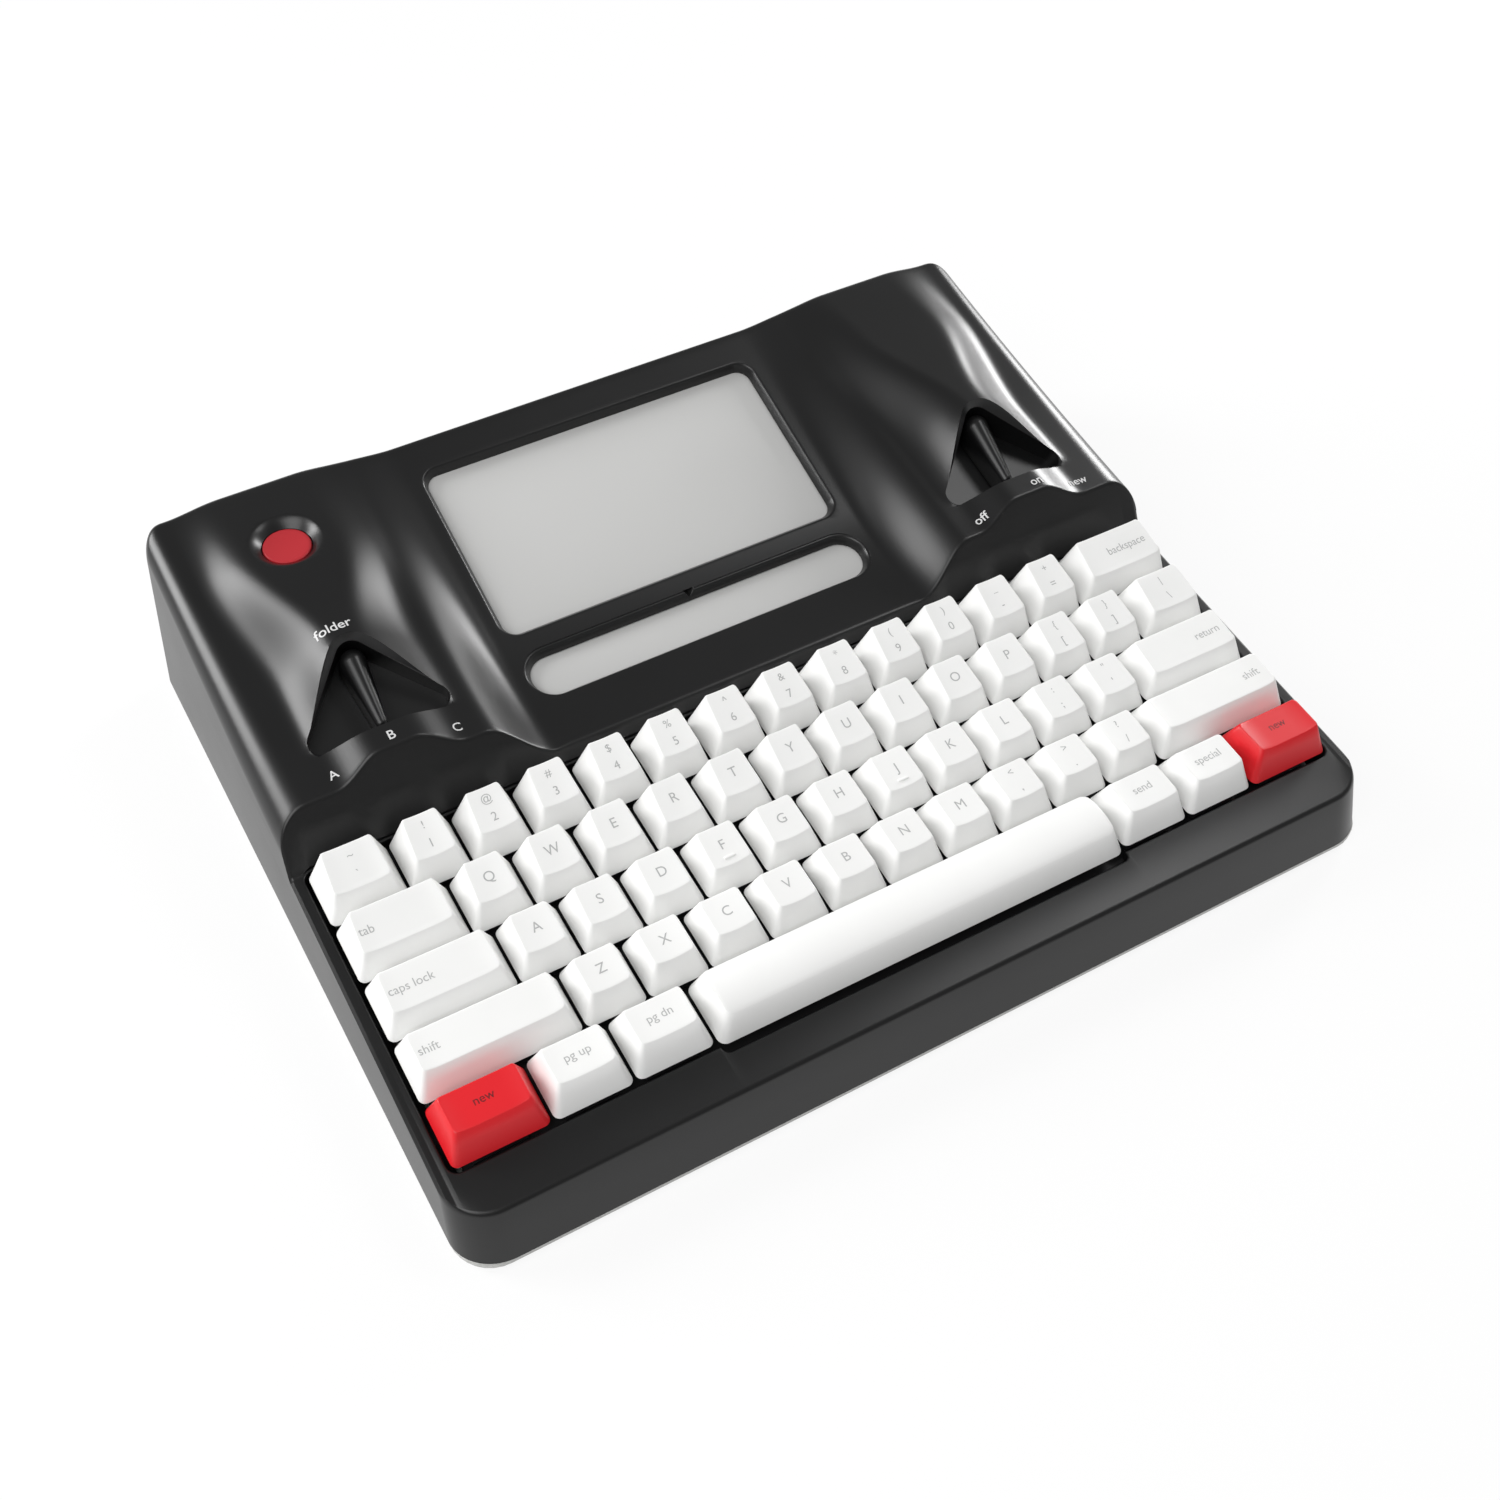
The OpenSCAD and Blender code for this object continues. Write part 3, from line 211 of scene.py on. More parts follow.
def profile(a):
    """Side view of the skin at distance a from the middle, from front foot to back foot."""
    inset, rear = round_drop(REF_X - a, CORNER_R), round_drop(REF_X - a, REAR_R)
    yc = front_y(CREASE_Z) + inset
    edge = max(0.0, LAND_EDGE - (REF_X - a))
    zf = FACE_Z - edge
    y_lip = LIP_Y
    for _ in range(4):
        y_lip = FACE_Y + FACE_LEAN * (top_z(a, y_lip) - FACE_Z)
    z_lip = top_z(a, y_lip)
    y_back = back_y(BODY_H) - rear
    crest = CREST - CREST_LESS * smooth((a - MIDDLE_HALF) / CREST_RUN)
    z_start = max(z_lip - crest, zf + 0.3)
    rise = min(FOOT, z_start - zf - 0.1)
    z_half = SEAM_Z + 0.5 * (CREASE_Z - SEAM_Z)
    rows = [(front_y(SEAM_Z) + inset, SEAM_Z), (front_y(z_half) + inset, z_half)]
    rows += bezier((yc - CREASE * FRONT_RUN, CREASE_Z - CREASE), (yc, CREASE_Z),
                   (yc + CREASE, land_z(yc + CREASE) - edge), 6)
    y_mid = (yc + FACE_Y) / 2
    rows += [(y_mid, land_z(y_mid) - edge)]
    rows += bezier((FACE_Y - FOOT, land_z(FACE_Y - FOOT) - edge), (FACE_Y, zf),
                   (FACE_Y + FACE_LEAN * rise, zf + rise), 5)
    rows += bezier((FACE_Y + FACE_LEAN * (z_start - zf), z_start), (y_lip, z_lip),
                   (y_lip + crest, top_z(a, y_lip + crest)), 6)
    ahead = list(np.linspace(y_lip + crest, DIAL_END, LIP_POINTS)[1:])
    behind = [DIAL_END + (y_back - BACK_EDGE - DIAL_END) * t for t in np.linspace(0, 1, TOP_POINTS)[1:]]
    rows += [(y, top_z(a, y)) for y in ahead + behind]
    for q in np.radians(np.linspace(90, 0, BACK_POINTS)[1:]):
        y = y_back - BACK_EDGE + BACK_EDGE * math.cos(q)
        rows.append((y, top_z(a, y) - BACK_EDGE * (1 - math.sin(q))))
    z_mid = 0.5 * (SEAM_Z + top_z(a, y_back))
    rows += [(back_y(z_mid) - rear, z_mid), (back_y(SEAM_Z) - rear, SEAM_Z)]
    return rows


# Meshes

def link_new(name, data):
    obj = bpy.data.objects.new(name, data)
    bpy.context.scene.collection.objects.link(obj)
    return obj


def make_object(name, verts, faces, matrix=None, smooth_angle=35.0):
    """An object at the origin whose place is in its mesh."""
    pts = np.array(verts, float)
    if matrix is not None:
        m = np.array(matrix)
        pts = pts @ m[:3, :3].T + m[:3, 3]
    mesh = bpy.data.meshes.new(name)
    mesh.from_pydata((pts * MM).tolist(), [], [list(f) for f in faces])
    mesh.validate()
    mesh.update()
    smooth_faces(mesh, smooth_angle)
    return link_new(name, mesh)


def smooth_faces(mesh, angle):
    mesh.polygons.foreach_set("use_smooth", [True] * len(mesh.polygons))
    mesh.set_sharp_from_angle(angle=math.radians(angle))


def loft(rings, cap_low=True):
    """Faces through rings of equally many points, given counter-clockwise from below."""
    n = len(rings[0])
    verts = [p for ring in rings for p in ring]
    faces = []
    for k in range(len(rings) - 1):
        a, b = k * n, (k + 1) * n
        faces += [(a + i, a + (i + 1) % n, b + (i + 1) % n, b + i) for i in range(n)]
    if cap_low:
        faces.append(tuple(range(n - 1, -1, -1)))
    top = (len(rings) - 1) * n
    faces.append(tuple(range(top, top + n)))
    return verts, faces


def join(parts):
    verts, faces = [], []
    for v, f in parts:
        shift = len(verts)
        verts += [tuple(p) for p in v]
        faces += [tuple(i + shift for i in face) for face in f]
    return verts, faces


def arc(cx, cy, r, a0, a1, n):
    return [(cx + r * math.cos(t), cy + r * math.sin(t)) for t in np.radians(np.linspace(a0, a1, n + 1))]


def rounded(w, d, r, n=8, along_x=0, along_y=0):
    """Rounded rectangle, counter-clockwise, with extra points along its straight edges."""
    x, y = w / 2 - r, d / 2 - r
    middles = ((x, -y), (x, y), (-x, y), (-x, -y))
    corners = [arc(cx, cy, r, 90 * k - 90, 90 * k, n) for k, (cx, cy) in enumerate(middles)]
    pts = []
    for k, corner in enumerate(corners):
        pts += corner
        start, end = corner[-1], corners[(k + 1) % 4][0]
        count = along_y if k % 2 == 0 else along_x
        for j in range(1, count + 1):
            t = j / (count + 1)
            pts.append((start[0] + (end[0] - start[0]) * t, start[1] + (end[1] - start[1]) * t))
    return pts


def flat_ring(points, z):
    return [(x, y, z) for x, y in points]


def flared(w, d, r, path, n):
    """Rounded rectangles that grow by the first number of each pair in path, at its second."""
    return loft([flat_ring(rounded(w + 2 * g, d + 2 * g, r + g, n), z) for g, z in path])


def lathe(path, n=64):
    """Solid of revolution about z through a path of radius and height."""
    turn = np.radians(np.linspace(0, 360, n + 1)[:-1])
    return loft([[(r * math.cos(t), r * math.sin(t), z) for t in turn] for r, z in path])


def placed(x=0.0, y=0.0, z=0.0, tilt=0.0):
    return Matrix.Translation((x, y, z)) @ Matrix.Rotation(math.radians(tilt), 4, "X")


def prism(name, outline, z0, z1, matrix=None):
    return make_object(name, *loft([flat_ring(outline, z0), flat_ring(outline, z1)]), matrix=matrix)


def result_of(obj):
    """Plain mesh of an object after its modifiers."""
    bpy.context.view_layer.update()
    return bpy.data.meshes.new_from_object(obj.evaluated_get(bpy.context.evaluated_depsgraph_get()))


KEY_FRAME = placed(0, KEY_Y, KEY_Z, KEY_TILT)
MAIN_FRAME = placed(0, MAIN_Y, deck_z(MAIN_Y), DECK_SLOPE)
STATUS_FRAME = placed(0, STATUS_Y, deck_z(STATUS_Y), STATUS_TILT)


def cut(obj, cutters):
    """Takes the cutters from an object one after another and removes them."""
    for cutter in cutters:
        step = obj.modifiers.new("cut", "BOOLEAN")
        step.operation = "DIFFERENCE"
        step.solver = "MANIFOLD"
        step.object = cutter
        got = result_of(obj)
        obj.modifiers.remove(step)
        if len(got.polygons) < 10:
            raise RuntimeError("cutting with " + cutter.name + " left nothing")
        old = obj.data
        obj.data = got
        bpy.data.meshes.remove(old)
        bpy.data.objects.remove(cutter)


# Shader nodes

class Value:
    """A socket that takes part in sums and products."""

    def __init__(self, tree, socket):
        self.tree = tree
        self.socket = socket

    def math(self, operation, other=None, swap=False):
        pair = [self, other]
        if swap:
            pair.reverse()
        values = {i: v for i, v in enumerate(pair) if v is not None}
        node = self.tree.add("ShaderNodeMath", {"operation": operation}, values)
        return Value(self.tree, node.outputs[0])

    def __add__(self, other):
        return self.math("ADD", other)

    def __sub__(self, other):
        return self.math("SUBTRACT", other)

    def __rsub__(self, other):
        return self.math("SUBTRACT", other, swap=True)

    def __mul__(self, other):
        return self.math("MULTIPLY", other)

    __radd__, __rmul__ = __add__, __mul__

    def clamp(self):
        return self.math("MAXIMUM", 0.0).math("MINIMUM", 1.0)


class Nodes:
    """Adds the nodes of one tree, each with its settings and the values or links of its sockets."""

    def __init__(self, tree):
        self.nodes = tree.nodes
        self.links = tree.links

    def add(self, kind, settings=None, values=None):
        node = self.nodes.new(kind)
        for key, setting in (settings or {}).items():
            setattr(node, key, setting)
        for key, value in (values or {}).items():
            self.set(node.inputs[key], value)
        return node

    def set(self, socket, value):
        if isinstance(value, Value):
            self.links.new(value.socket, socket)
        elif isinstance(value, bpy.types.NodeSocket):
            self.links.new(value, socket)
        else:
            socket.default_value = value


class Finish(Nodes):
    """A material and the nodes it is made of."""

    def __init__(self, name):
        self.material = bpy.data.materials.new(name)
        self.material.use_nodes = True
        super().__init__(self.material.node_tree)
        self.shader = self.nodes["Principled BSDF"]
        self.output = self.nodes["Material Output"]
        self.place = self.add("ShaderNodeTexCoord").outputs["Object"]

    def surface(self, **values):
        for key, value in values.items():
            self.set(self.shader.inputs[key.replace("_", " ")], value)

    def noise(self, scale, detail=3.0, stretch=None):
        where = self.place
        if stretch:
            where = self.add("ShaderNodeMapping", None, {"Vector": where, "Scale": stretch}).outputs[0]
        node = self.add("ShaderNodeTexNoise", None, {"Vector": where, "Scale": scale, "Detail": detail})
        return Value(self, node.outputs["Fac"])

    def blend(self, factor, first, second):
        node = self.add("ShaderNodeMix", {"data_type": "RGBA"}, {0: factor})
        for socket, value in ((node.inputs[6], first), (node.inputs[7], second)):
            self.set(socket, (*value, 1.0) if isinstance(value, tuple) and len(value) == 3 else value)
        return node.outputs[2]

    def bump(self, height, strength, distance):
        values = {"Strength": strength, "Distance": distance, "Height": height}
        return self.add("ShaderNodeBump", None, values).outputs[0]


def linear(colour):
    """A colour picked on screen as the shader's own numbers."""
    return tuple(c / 12.92 if c <= 0.04045 else ((c + 0.055) / 1.055) ** 2.4 for c in colour)


def shade(colour, k):
    return tuple(min(c * k, 1.0) for c in colour)


# Depth of a surface's grain, in metres
GRAIN_DEPTH = 0.00002


def moulded(name, colour, rough, grain=0.15, spread=0.04):
    """Moulded plastic: a fine grain, and a gloss that wanders a little."""
    f = Finish(name)
    cloud = f.noise(26.0, 3.0)
    fine = f.noise(2600.0, 2.0)
    f.surface(Base_Color=f.blend(cloud, shade(colour, 0.93), shade(colour, 1.06)),
              Roughness=(cloud - 0.5) * spread * 2 + (fine - 0.5) * spread + rough,
              Normal=f.bump(fine, grain, GRAIN_DEPTH))
    return f.material


def brushed(name, colour, rough):
    """Sheet metal with fine lines along X."""
    f = Finish(name)
    lines = f.noise(900.0, 2.0, stretch=(0.04, 1.0, 1.0))
    cloud = f.noise(30.0)
    f.surface(Base_Color=f.blend(lines, shade(colour, 0.9), shade(colour, 1.05)), Metallic=1.0,
              Roughness=(lines - 0.5) * 0.16 + (cloud - 0.5) * 0.1 + rough,
              Normal=f.bump(lines, 0.1, GRAIN_DEPTH))
    return f.material


def circuit(name, mask, copper):
    """Board with a solder mask over fine copper tracks."""
    f = Finish(name)
    wave = f.add("ShaderNodeTexWave", {"wave_type": "BANDS", "bands_direction": "X"},
                 {"Vector": f.place, "Scale": 260.0, "Distortion": 3.0, "Detail": 1.0})
    track = (Value(f, wave.outputs["Fac"]) - 0.62) * 9.0
    cloud = f.noise(60.0)
    f.surface(Base_Color=f.blend(track.clamp(), mask, copper), Roughness=cloud * 0.2 + 0.3,
              Normal=f.bump(track.clamp(), 0.2, 2 * GRAIN_DEPTH))
    return f.material


def display_glass(name, colour):
    """Matt front over a reflective display: even, with a faint mottle."""
    f = Finish(name)
    cloud = f.noise(9.0, 2.0)
    speck = f.noise(1800.0, 2.0)
    f.surface(Base_Color=f.blend(cloud, shade(colour, 0.97), shade(colour, 1.03)),
              Roughness=(speck - 0.5) * 0.08 + 0.42, Normal=f.bump(speck, 0.05, GRAIN_DEPTH / 2))
    return f.material


def printed(name, colour):
    """Printing ink, a little uneven."""
    f = Finish(name)
    speck = f.noise(1500.0)
    f.surface(Base_Color=f.blend(speck, shade(colour, 0.92), shade(colour, 1.08)),
              Roughness=speck * 0.1 + 0.45)
    return f.material


# Settings

def size(name, text, default, low, high):
    return bpy.props.FloatProperty(name=name, description=text, default=default, min=low, max=high,
                                   unit="LENGTH", subtype="DISTANCE", precision=4)


def amount(name, text, default):
    return bpy.props.FloatProperty(name=name, description=text, default=default, min=0.0, max=1.0,
                                   subtype="FACTOR")


def colour(name, text, default):
    return bpy.props.FloatVectorProperty(name=name, description=text, default=linear(default), size=3,
                                         min=0.0, max=1.0, subtype="COLOR")


class WordProcessorHousing(bpy.types.PropertyGroup):
    black: colour("Housing", "Colour of the moulded housing", (0.065, 0.065, 0.067))
    gloss: amount("Housing roughness", "Roughness of the housing's surface", 0.33)
    base: colour("Base", "Colour of the base's visible edge", (0.74, 0.74, 0.73))
    lever: colour("Levers", "Colour of the selector levers", (0.065, 0.065, 0.067))
    button: colour("Button", "Colour of the power button", (0.7, 0.16, 0.19))
    mark: colour("Marks", "Colour of the marks printed on the housing", (0.82, 0.82, 0.82))
    fillet: size("Rim rounding", "Rounding of the display openings' outer edge", 0.0006, 0.0, 0.0012)


class WordProcessorKeys(bpy.types.PropertyGroup):
    white: colour("Keycaps", "Colour of the white keycaps", (0.94, 0.94, 0.935))
    red: colour("Red keycaps", "Colour of the two red keycaps", (0.86, 0.09, 0.13))
    legend: colour("Legends", "Colour of the keycaps' legends", (0.7, 0.7, 0.7))
    red_legend: colour("Legends on red", "Colour of the red keycaps' legends", (0.4, 0.04, 0.07))
    rounding: size("Edge rounding", "Rounding of the keycaps' top edges", 0.0004, 0.0002, 0.0015)
    letter: size("Letter height", "Size of the letters on the keycaps", 0.0042, 0.002, 0.006)
    word: size("Word height", "Size of the words on the wide keycaps", 0.0035, 0.002, 0.006)


class WordProcessorDisplays(bpy.types.PropertyGroup):
    glass: colour("Display", "Colour of both displays behind their fronts", (0.76, 0.76, 0.755))


class WordProcessorStage(bpy.types.PropertyGroup):
    strength: amount("Key light", "Strength of the large soft light, in watts by twenty", 0.5)
    room: amount("Room light", "Strength of the even light from all sides", 0.27)
    backdrop: colour("Floor", "Colour of the floor", (0.96, 0.96, 0.96))


def settings():
    scene = bpy.context.scene
    return scene.wp_housing, scene.wp_keys, scene.wp_displays, scene.wp_stage


def dress(obj, material, body, replaced=()):
    """Gives a piece its material, its body and the nodes it stands for."""
    obj.data.materials.clear()
    obj.data.materials.append(material)
    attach(obj, body)
    if replaced:
        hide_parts(*replaced)


# Housing

def skin_mesh():
    """Closed skin of the housing through profiles at growing distances from the middle."""
    steps = [MIDDLE_HALF] + list(np.arange(*FALL_STATIONS)) + list(np.arange(*POD_STATIONS))
    steps += [REF_X - SHOULDER_R + SHOULDER_R * math.cos(q)
              for q in np.radians(np.linspace(90, 0, SHOULDER_STATIONS))]
    stations = [-s for s in reversed(steps)] + steps
    rows = {s: profile(s) for s in steps}
    verts = []
    for s in stations:
        for y, z in rows[abs(s)]:
            verts.append((math.copysign(out_x(abs(s), z), s), y, z))
    n, m = len(rows[steps[0]]), len(stations)
    faces = []
    for i in range(m - 1):
        for j in range(n - 1):
            p = i * n + j
            if i == len(steps) - 1:
                faces.append((p, p + n, p + n + 1, p + 1))
            else:
                faces += [(p, p + n, p + 1), (p + 1, p + n, p + n + 1)]
    faces.append(tuple(range(n)))
    faces.append(tuple((m - 1) * n + j for j in range(n - 1, -1, -1)))
    faces.append(tuple([i * n + n - 1 for i in range(m)] + [i * n for i in range(m - 1, -1, -1)]))
    return verts, faces


def window_cutter(name, h, r, fillet, matrix):
    """Display opening with a sloping rim whose outer edge is rounded."""
    steep = math.hypot(BEVEL_IN, BEVEL_DEPTH)
    path = [(-BEVEL_IN, -CUT_DEPTH), (-BEVEL_IN, -BEVEL_DEPTH)]
    path += bezier((-fillet * BEVEL_IN / steep, -fillet * BEVEL_DEPTH / steep), (0, 0),
                   (fillet, CUT_LIFT), 6)
    path += [(fillet + CUT_OUT, CUT_UP), (fillet + CUT_OUT, 6.0)]
    return make_object(name, *flared(WINDOW_W, h, r, path, 14), matrix=matrix)


def recess_outline(grow, n=14):
    """Three-cornered outline of a lever's recess."""
    length = math.hypot(RECESS_X, APEX_Y - RECESS_Y)
    turn = math.degrees(math.atan2(APEX_Y - RECESS_Y, -RECESS_X))
    turn -= math.degrees(math.acos((RECESS_R - APEX_R) / length))
    return (arc(RECESS_X, RECESS_Y, RECESS_R + grow, -90, turn, n)
            + arc(0, APEX_Y, APEX_R + grow, turn, 180 - turn, n)
            + arc(-RECESS_X, RECESS_Y, RECESS_R + grow, 180 - turn, 270, n))


def cavity_cutter():
    """Room under the deck, so that the plate and the switches show between the keys."""
    low, zc = SEAM_Z - 1, CREASE_Z - SHELL_WALL
    front, cliff, rear = 3.3, FACE_Y + 3.45, HALF_D - POCKET_D - POCKET_WALL
    side = [(front_y(low) + front, low), (front_y(zc) + front, zc), (cliff, FACE_Z - SHELL_WALL),
            (cliff + FACE_LEAN * DECK_RISE, DECK_Z0 - SHELL_WALL)]
    side += [(y, deck_z(y) - SHELL_WALL * 1.05)
             for y in (BEND_START, (BEND_START + BEND_END) / 2, BEND_END, rear)]
    side += [(rear, low)]
    verts, faces = loft([[(x, y, z) for y, z in side] for x in (9 - HALF_W, HALF_W - 9)])
    return make_object("cavity", verts, [tuple(reversed(f)) for f in faces])


def well_cutters():
    """The keys' well and the bulge in front of the space bar."""
    path = [(0.0, -CUT_DEPTH)]
    path += bezier((0, -LAND_DROP - WELL_EDGE), (0, -LAND_DROP), (WELL_EDGE, -LAND_DROP + CUT_LIFT), 6)
    path += [(WELL_EDGE + CUT_OUT, -LAND_DROP + CUT_UP), (WELL_EDGE + CUT_OUT, 4.0)]
    well = flared(FIELD_W + 2 * WELL_SIDE, FOOT_YK + WELL_FRONT, WELL_R, path, 10)
    bulge = flared(7 * PITCH - 0.6, 5, 2, path, 10)
    return [make_object("well", *well, matrix=KEY_FRAME @ placed(0, (FOOT_YK - WELL_FRONT) / 2)),
            make_object("bulge", *bulge, matrix=KEY_FRAME @ placed(0.5, -WELL_FRONT))]


def lever_cutters(side):
    """A lever's recess, the bevel along its sides and rear corner, and the hole of its shaft."""
    sweep = placed(side * POD_X, PIVOT_Y, PIVOT_Z, SWEEP_TILT)
    recess = prism("recess", recess_outline(0), FLOOR_Z, 24, sweep)
    rim = placed(side * POD_X, RIDGE_Y0 - 0.2, BODY_H - 0.4, RIM_TILT) @ placed(0, -6)
    rings = [flat_ring(recess_outline(g), z) for g, z in
             ((-0.3, -RIM_BEVEL - 0.3), (0.0, -RIM_BEVEL - 0.12), (RIM_BEVEL + 3, 3))]
    bevel = make_object("rim", *loft(rings), matrix=rim)
    # The bevel ends behind the dial, so its cutter loses all that lies in front
    front = [(side * POD_X + x, DIAL_END + y) for x, y in ((-45, -60), (45, -60), (45, -0.4), (-45, -0.4))]
    cut(bevel, [prism("rim_front", front, 20, 120)])
    shaft = lathe([(SHAFT_R + 0.05, FLOOR_Z - 6), (SHAFT_R + 0.05, FLOOR_Z + 2)], 32)
    return [recess, bevel, make_object("shaft_hole", *shaft, matrix=sweep)]


def dish_cutter():
    """The button's bore, which opens into a round dish."""
    bore = BUTTON_R + BUTTON_GAP
    path = [(bore, 48.0), (bore, BODY_H - 2.6)]
    path += bezier((bore + 0.1, BODY_H - 2.5), (9.5, BODY_H - 0.5), (10.9, BODY_H + 0.01), 8)
    path += [(11.0, BODY_H + 0.3), (11.0, BODY_H + 5)]
    return make_object("dish", *lathe(path), matrix=placed(BUTTON_X, BUTTON_Y))


def rear_cutters():
    """The handle's pocket and the charging socket's hole and dip."""
    pocket = placed(0, HALF_D - POCKET_D, (POCKET_Z0 + POCKET_Z1) / 2, -90)
    socket = placed(PORT_X, HALF_D - 12, PORT_Z, -90)
    return [prism("pocket", rounded(HANDLE_W + 3, POCKET_Z1 - POCKET_Z0, 1.5, 5), 0, REACH, pocket),
            prism("port", rounded(*PORT_HOLE, 6), 0, REACH, socket),
            prism("port_dip", rounded(*PORT_DIP, 6), 10.6, REACH, socket)]


class WP_OT_housing(bpy.types.Operator):
    """Builds the black housing with its openings"""
    bl_idname = "wordpro.housing"
    bl_label = "Housing"

    def execute(self, context):
        look = settings()[0]
        shell = make_object("housing_shell", *skin_mesh())
        fillet = look.fillet / MM
        cutters = [cavity_cutter()] + well_cutters()
        cutters.append(window_cutter("main_window", WINDOW_H, 6.0, fillet, MAIN_FRAME))
        cutters.append(window_cutter("status_window", STATUS_H, STATUS_H / 2 - 0.01, fillet, STATUS_FRAME))
        notch = [[(x, y, z) for x, z in ((-1.84, 0.4), (0, -1.44), (1.84, 0.4))]
                 for y in (STATUS_H / 2 + 1.4, STATUS_H / 2 - 4.6)]
        cutters.append(make_object("notch", *loft(notch), matrix=STATUS_FRAME))
        cutters += lever_cutters(-1) + lever_cutters(1) + [dish_cutter()] + rear_cutters()
        cut(shell, cutters)
        smooth_faces(shell.data, 32.0)
        dress(shell, moulded("black_moulding", tuple(look.black), look.gloss, 0.12), "housing",
              ["upper_shell"])
        return {"FINISHED"}


# Keycaps

ROW_FRONT = [9.5, 8.4, 8.0, 9.0, 9.3]
ROW_BACK = [12.6, 10.9, 9.3, 9.1, 8.9]
ROW_INSET = [3.6, 3.8, 4.0, 4.6, 5.1]
BACK_INSET, SIDE_INSET, CAP_WALL = 2.2, 3.1, 1.5
DISH_R, DISH_DEEP = 26.0, 0.7
STEM_R, STEM_REACH = 2.75, 3.4
HOMING_KEYS, HOMING_W, HOMING_D, HOMING_BACK = (4, 7), 3.4, 0.9, 2.2
CAP_SMOOTH = 40.0
ROWS = [
    [(0, 1.25)] + [(1.25 + i, 1) for i in range(12)] + [(13.25, 1.75)],
    [(0, 1.75)] + [(1.75 + i, 1) for i in range(12)] + [(13.75, 1.25)],
    [(0, 2)] + [(2 + i, 1) for i in range(11)] + [(13, 2)],
    [(0, 2.5)] + [(2.5 + i, 1) for i in range(10)] + [(12.5, 2.5)],
    [(0, 1.5), (1.5, 1.25), (2.75, 1.25), (4, 7), (11, 1.25), (12.25, 1.25), (13.5, 1.5)],
]
# Node, row and place in the row
SINGLE_KEYS = [
    ("key_tilde", 0, 0), ("key_backspace", 0, 13), ("key_tab", 1, 0), ("key_backslash", 1, 13),
    ("key_caps", 2, 0), ("key_return", 2, 12), ("key_shift_left", 3, 0), ("key_shift_right", 3, 11),
    ("key_red_left", 4, 0), ("key_page_up", 4, 1), ("key_page_down", 4, 2), ("key_send", 4, 4),
    ("key_special", 4, 5), ("key_red_right", 4, 6),
]
# Node, row and number of keys
KEY_ROWS = [("keys_number_row", 0, 12), ("keys_upper_row", 1, 12), ("keys_home_row", 2, 11),
            ("keys_lower_row", 3, 10)]


def key_place(row, i):
    left, units = ROWS[row][i]
    return (left + units / 2 - 7.5) * PITCH, (4.5 - row) * PITCH


class CapShape:
    """Measures of one keycap in its own cell, with the feet of its walls at height 0."""

    def __init__(self, row, units):
        self.w = units * PITCH - KEY_GAP
        self.d = PITCH - KEY_GAP
        self.hf, self.hb = ROW_FRONT[row], ROW_BACK[row]
        self.yf = -self.d / 2 + ROW_INSET[row]
        self.yb = self.d / 2 - BACK_INSET
        self.half = self.w / 2 - SIDE_INSET
        self.flat = (units - 1) * PITCH / 2

    def plane(self, y):
        return self.hf + (self.hb - self.hf) * (y - self.yf) / (self.yb - self.yf)

    def dip(self, x):
        """Depth of the dish below the top's plane, as a negative height."""
        off = min(max(abs(x) - self.flat, 0.0), DISH_R)
        return min(DISH_R - DISH_DEEP - math.sqrt(DISH_R ** 2 - off ** 2), 0.0)

    def top(self, x, y):
        """Height of the dished top."""
        return self.plane(y) + self.dip(x)

    def outline(self, high, inset, r):
        """Outline at the foot or, where high is set, at the top's plane."""
        half = self.w / 2 - inset
        y0, y1 = (self.yf, self.yb) if high else (-self.d / 2, self.d / 2)
        pts = rounded(2 * half, y1 - y0 - 2 * inset, r, 6, 10 if self.w < 24 else 16, 5)
        out = []
        for x, y in pts:
            y += (y0 + y1) / 2
            narrow = 1 - SIDE_INSET * self.plane(y) / self.hf / half if high else 1.0
            out.append((x * narrow, y))
        return out

    def ring(self, t, inset, r, drop=0.0):
        """Outline at share t of the walls, which end where the dish cuts them."""
        ring = []
        for (x0, y0), (x1, y1) in zip(self.outline(False, inset, r), self.outline(True, inset, r)):
            plane = self.plane(y1)
            k = t * (1 + self.dip(x1) / plane)
            ring.append((x0 + (x1 - x0) * k, y0 + (y1 - y0) * k, plane * k - drop))
        return ring


def shrunk(ring, keep, mid, k, height):
    """A ring drawn in to share k round its middle line, whose half length is keep."""
    out = []
    for x, y, _ in ring:
        side = math.copysign(min(abs(x), keep), x)
        px, py = side + (x - side) * k, mid + (y - mid) * k
        out.append((px, py, height(px, py)))
    return out


def hollow_cap(inner, outer, height):
    """Cap from the rings of its inside and its outside, with its stem."""
    verts, faces = loft(inner + outer, cap_low=False)
    faces.append(tuple(range(len(outer[0]) - 1, -1, -1)))
    return join([(verts, faces), lathe([(STEM_R, -STEM_REACH), (STEM_R, 0.8 * height)], 20)])


def cap_mesh(row, units, edge):
    """Sculpted keycap of its row."""
    s = CapShape(row, units)
    rings = [s.ring(t, 0.0, r) for t, r in ((0.0, 2.0), (0.3, 1.9), (0.6, 1.7), (1 - edge / s.hf, 1.4))]
    for q in np.radians([22.5, 45, 67.5, 90]):
        rings.append(s.ring(1.0, edge * (1 - math.cos(q)), 1.4, edge * (1 - math.sin(q))))
    last, mid = rings[-1], (s.yf + s.yb) / 2
    rings += [shrunk(last, s.flat, mid, k, s.top) for k in (0.93, 0.75, 0.5, 0.25, 0.04)]
    return hollow_cap([s.ring(0.82, CAP_WALL, 0.8), s.ring(0.0, CAP_WALL, 0.8)], rings, s.hf)


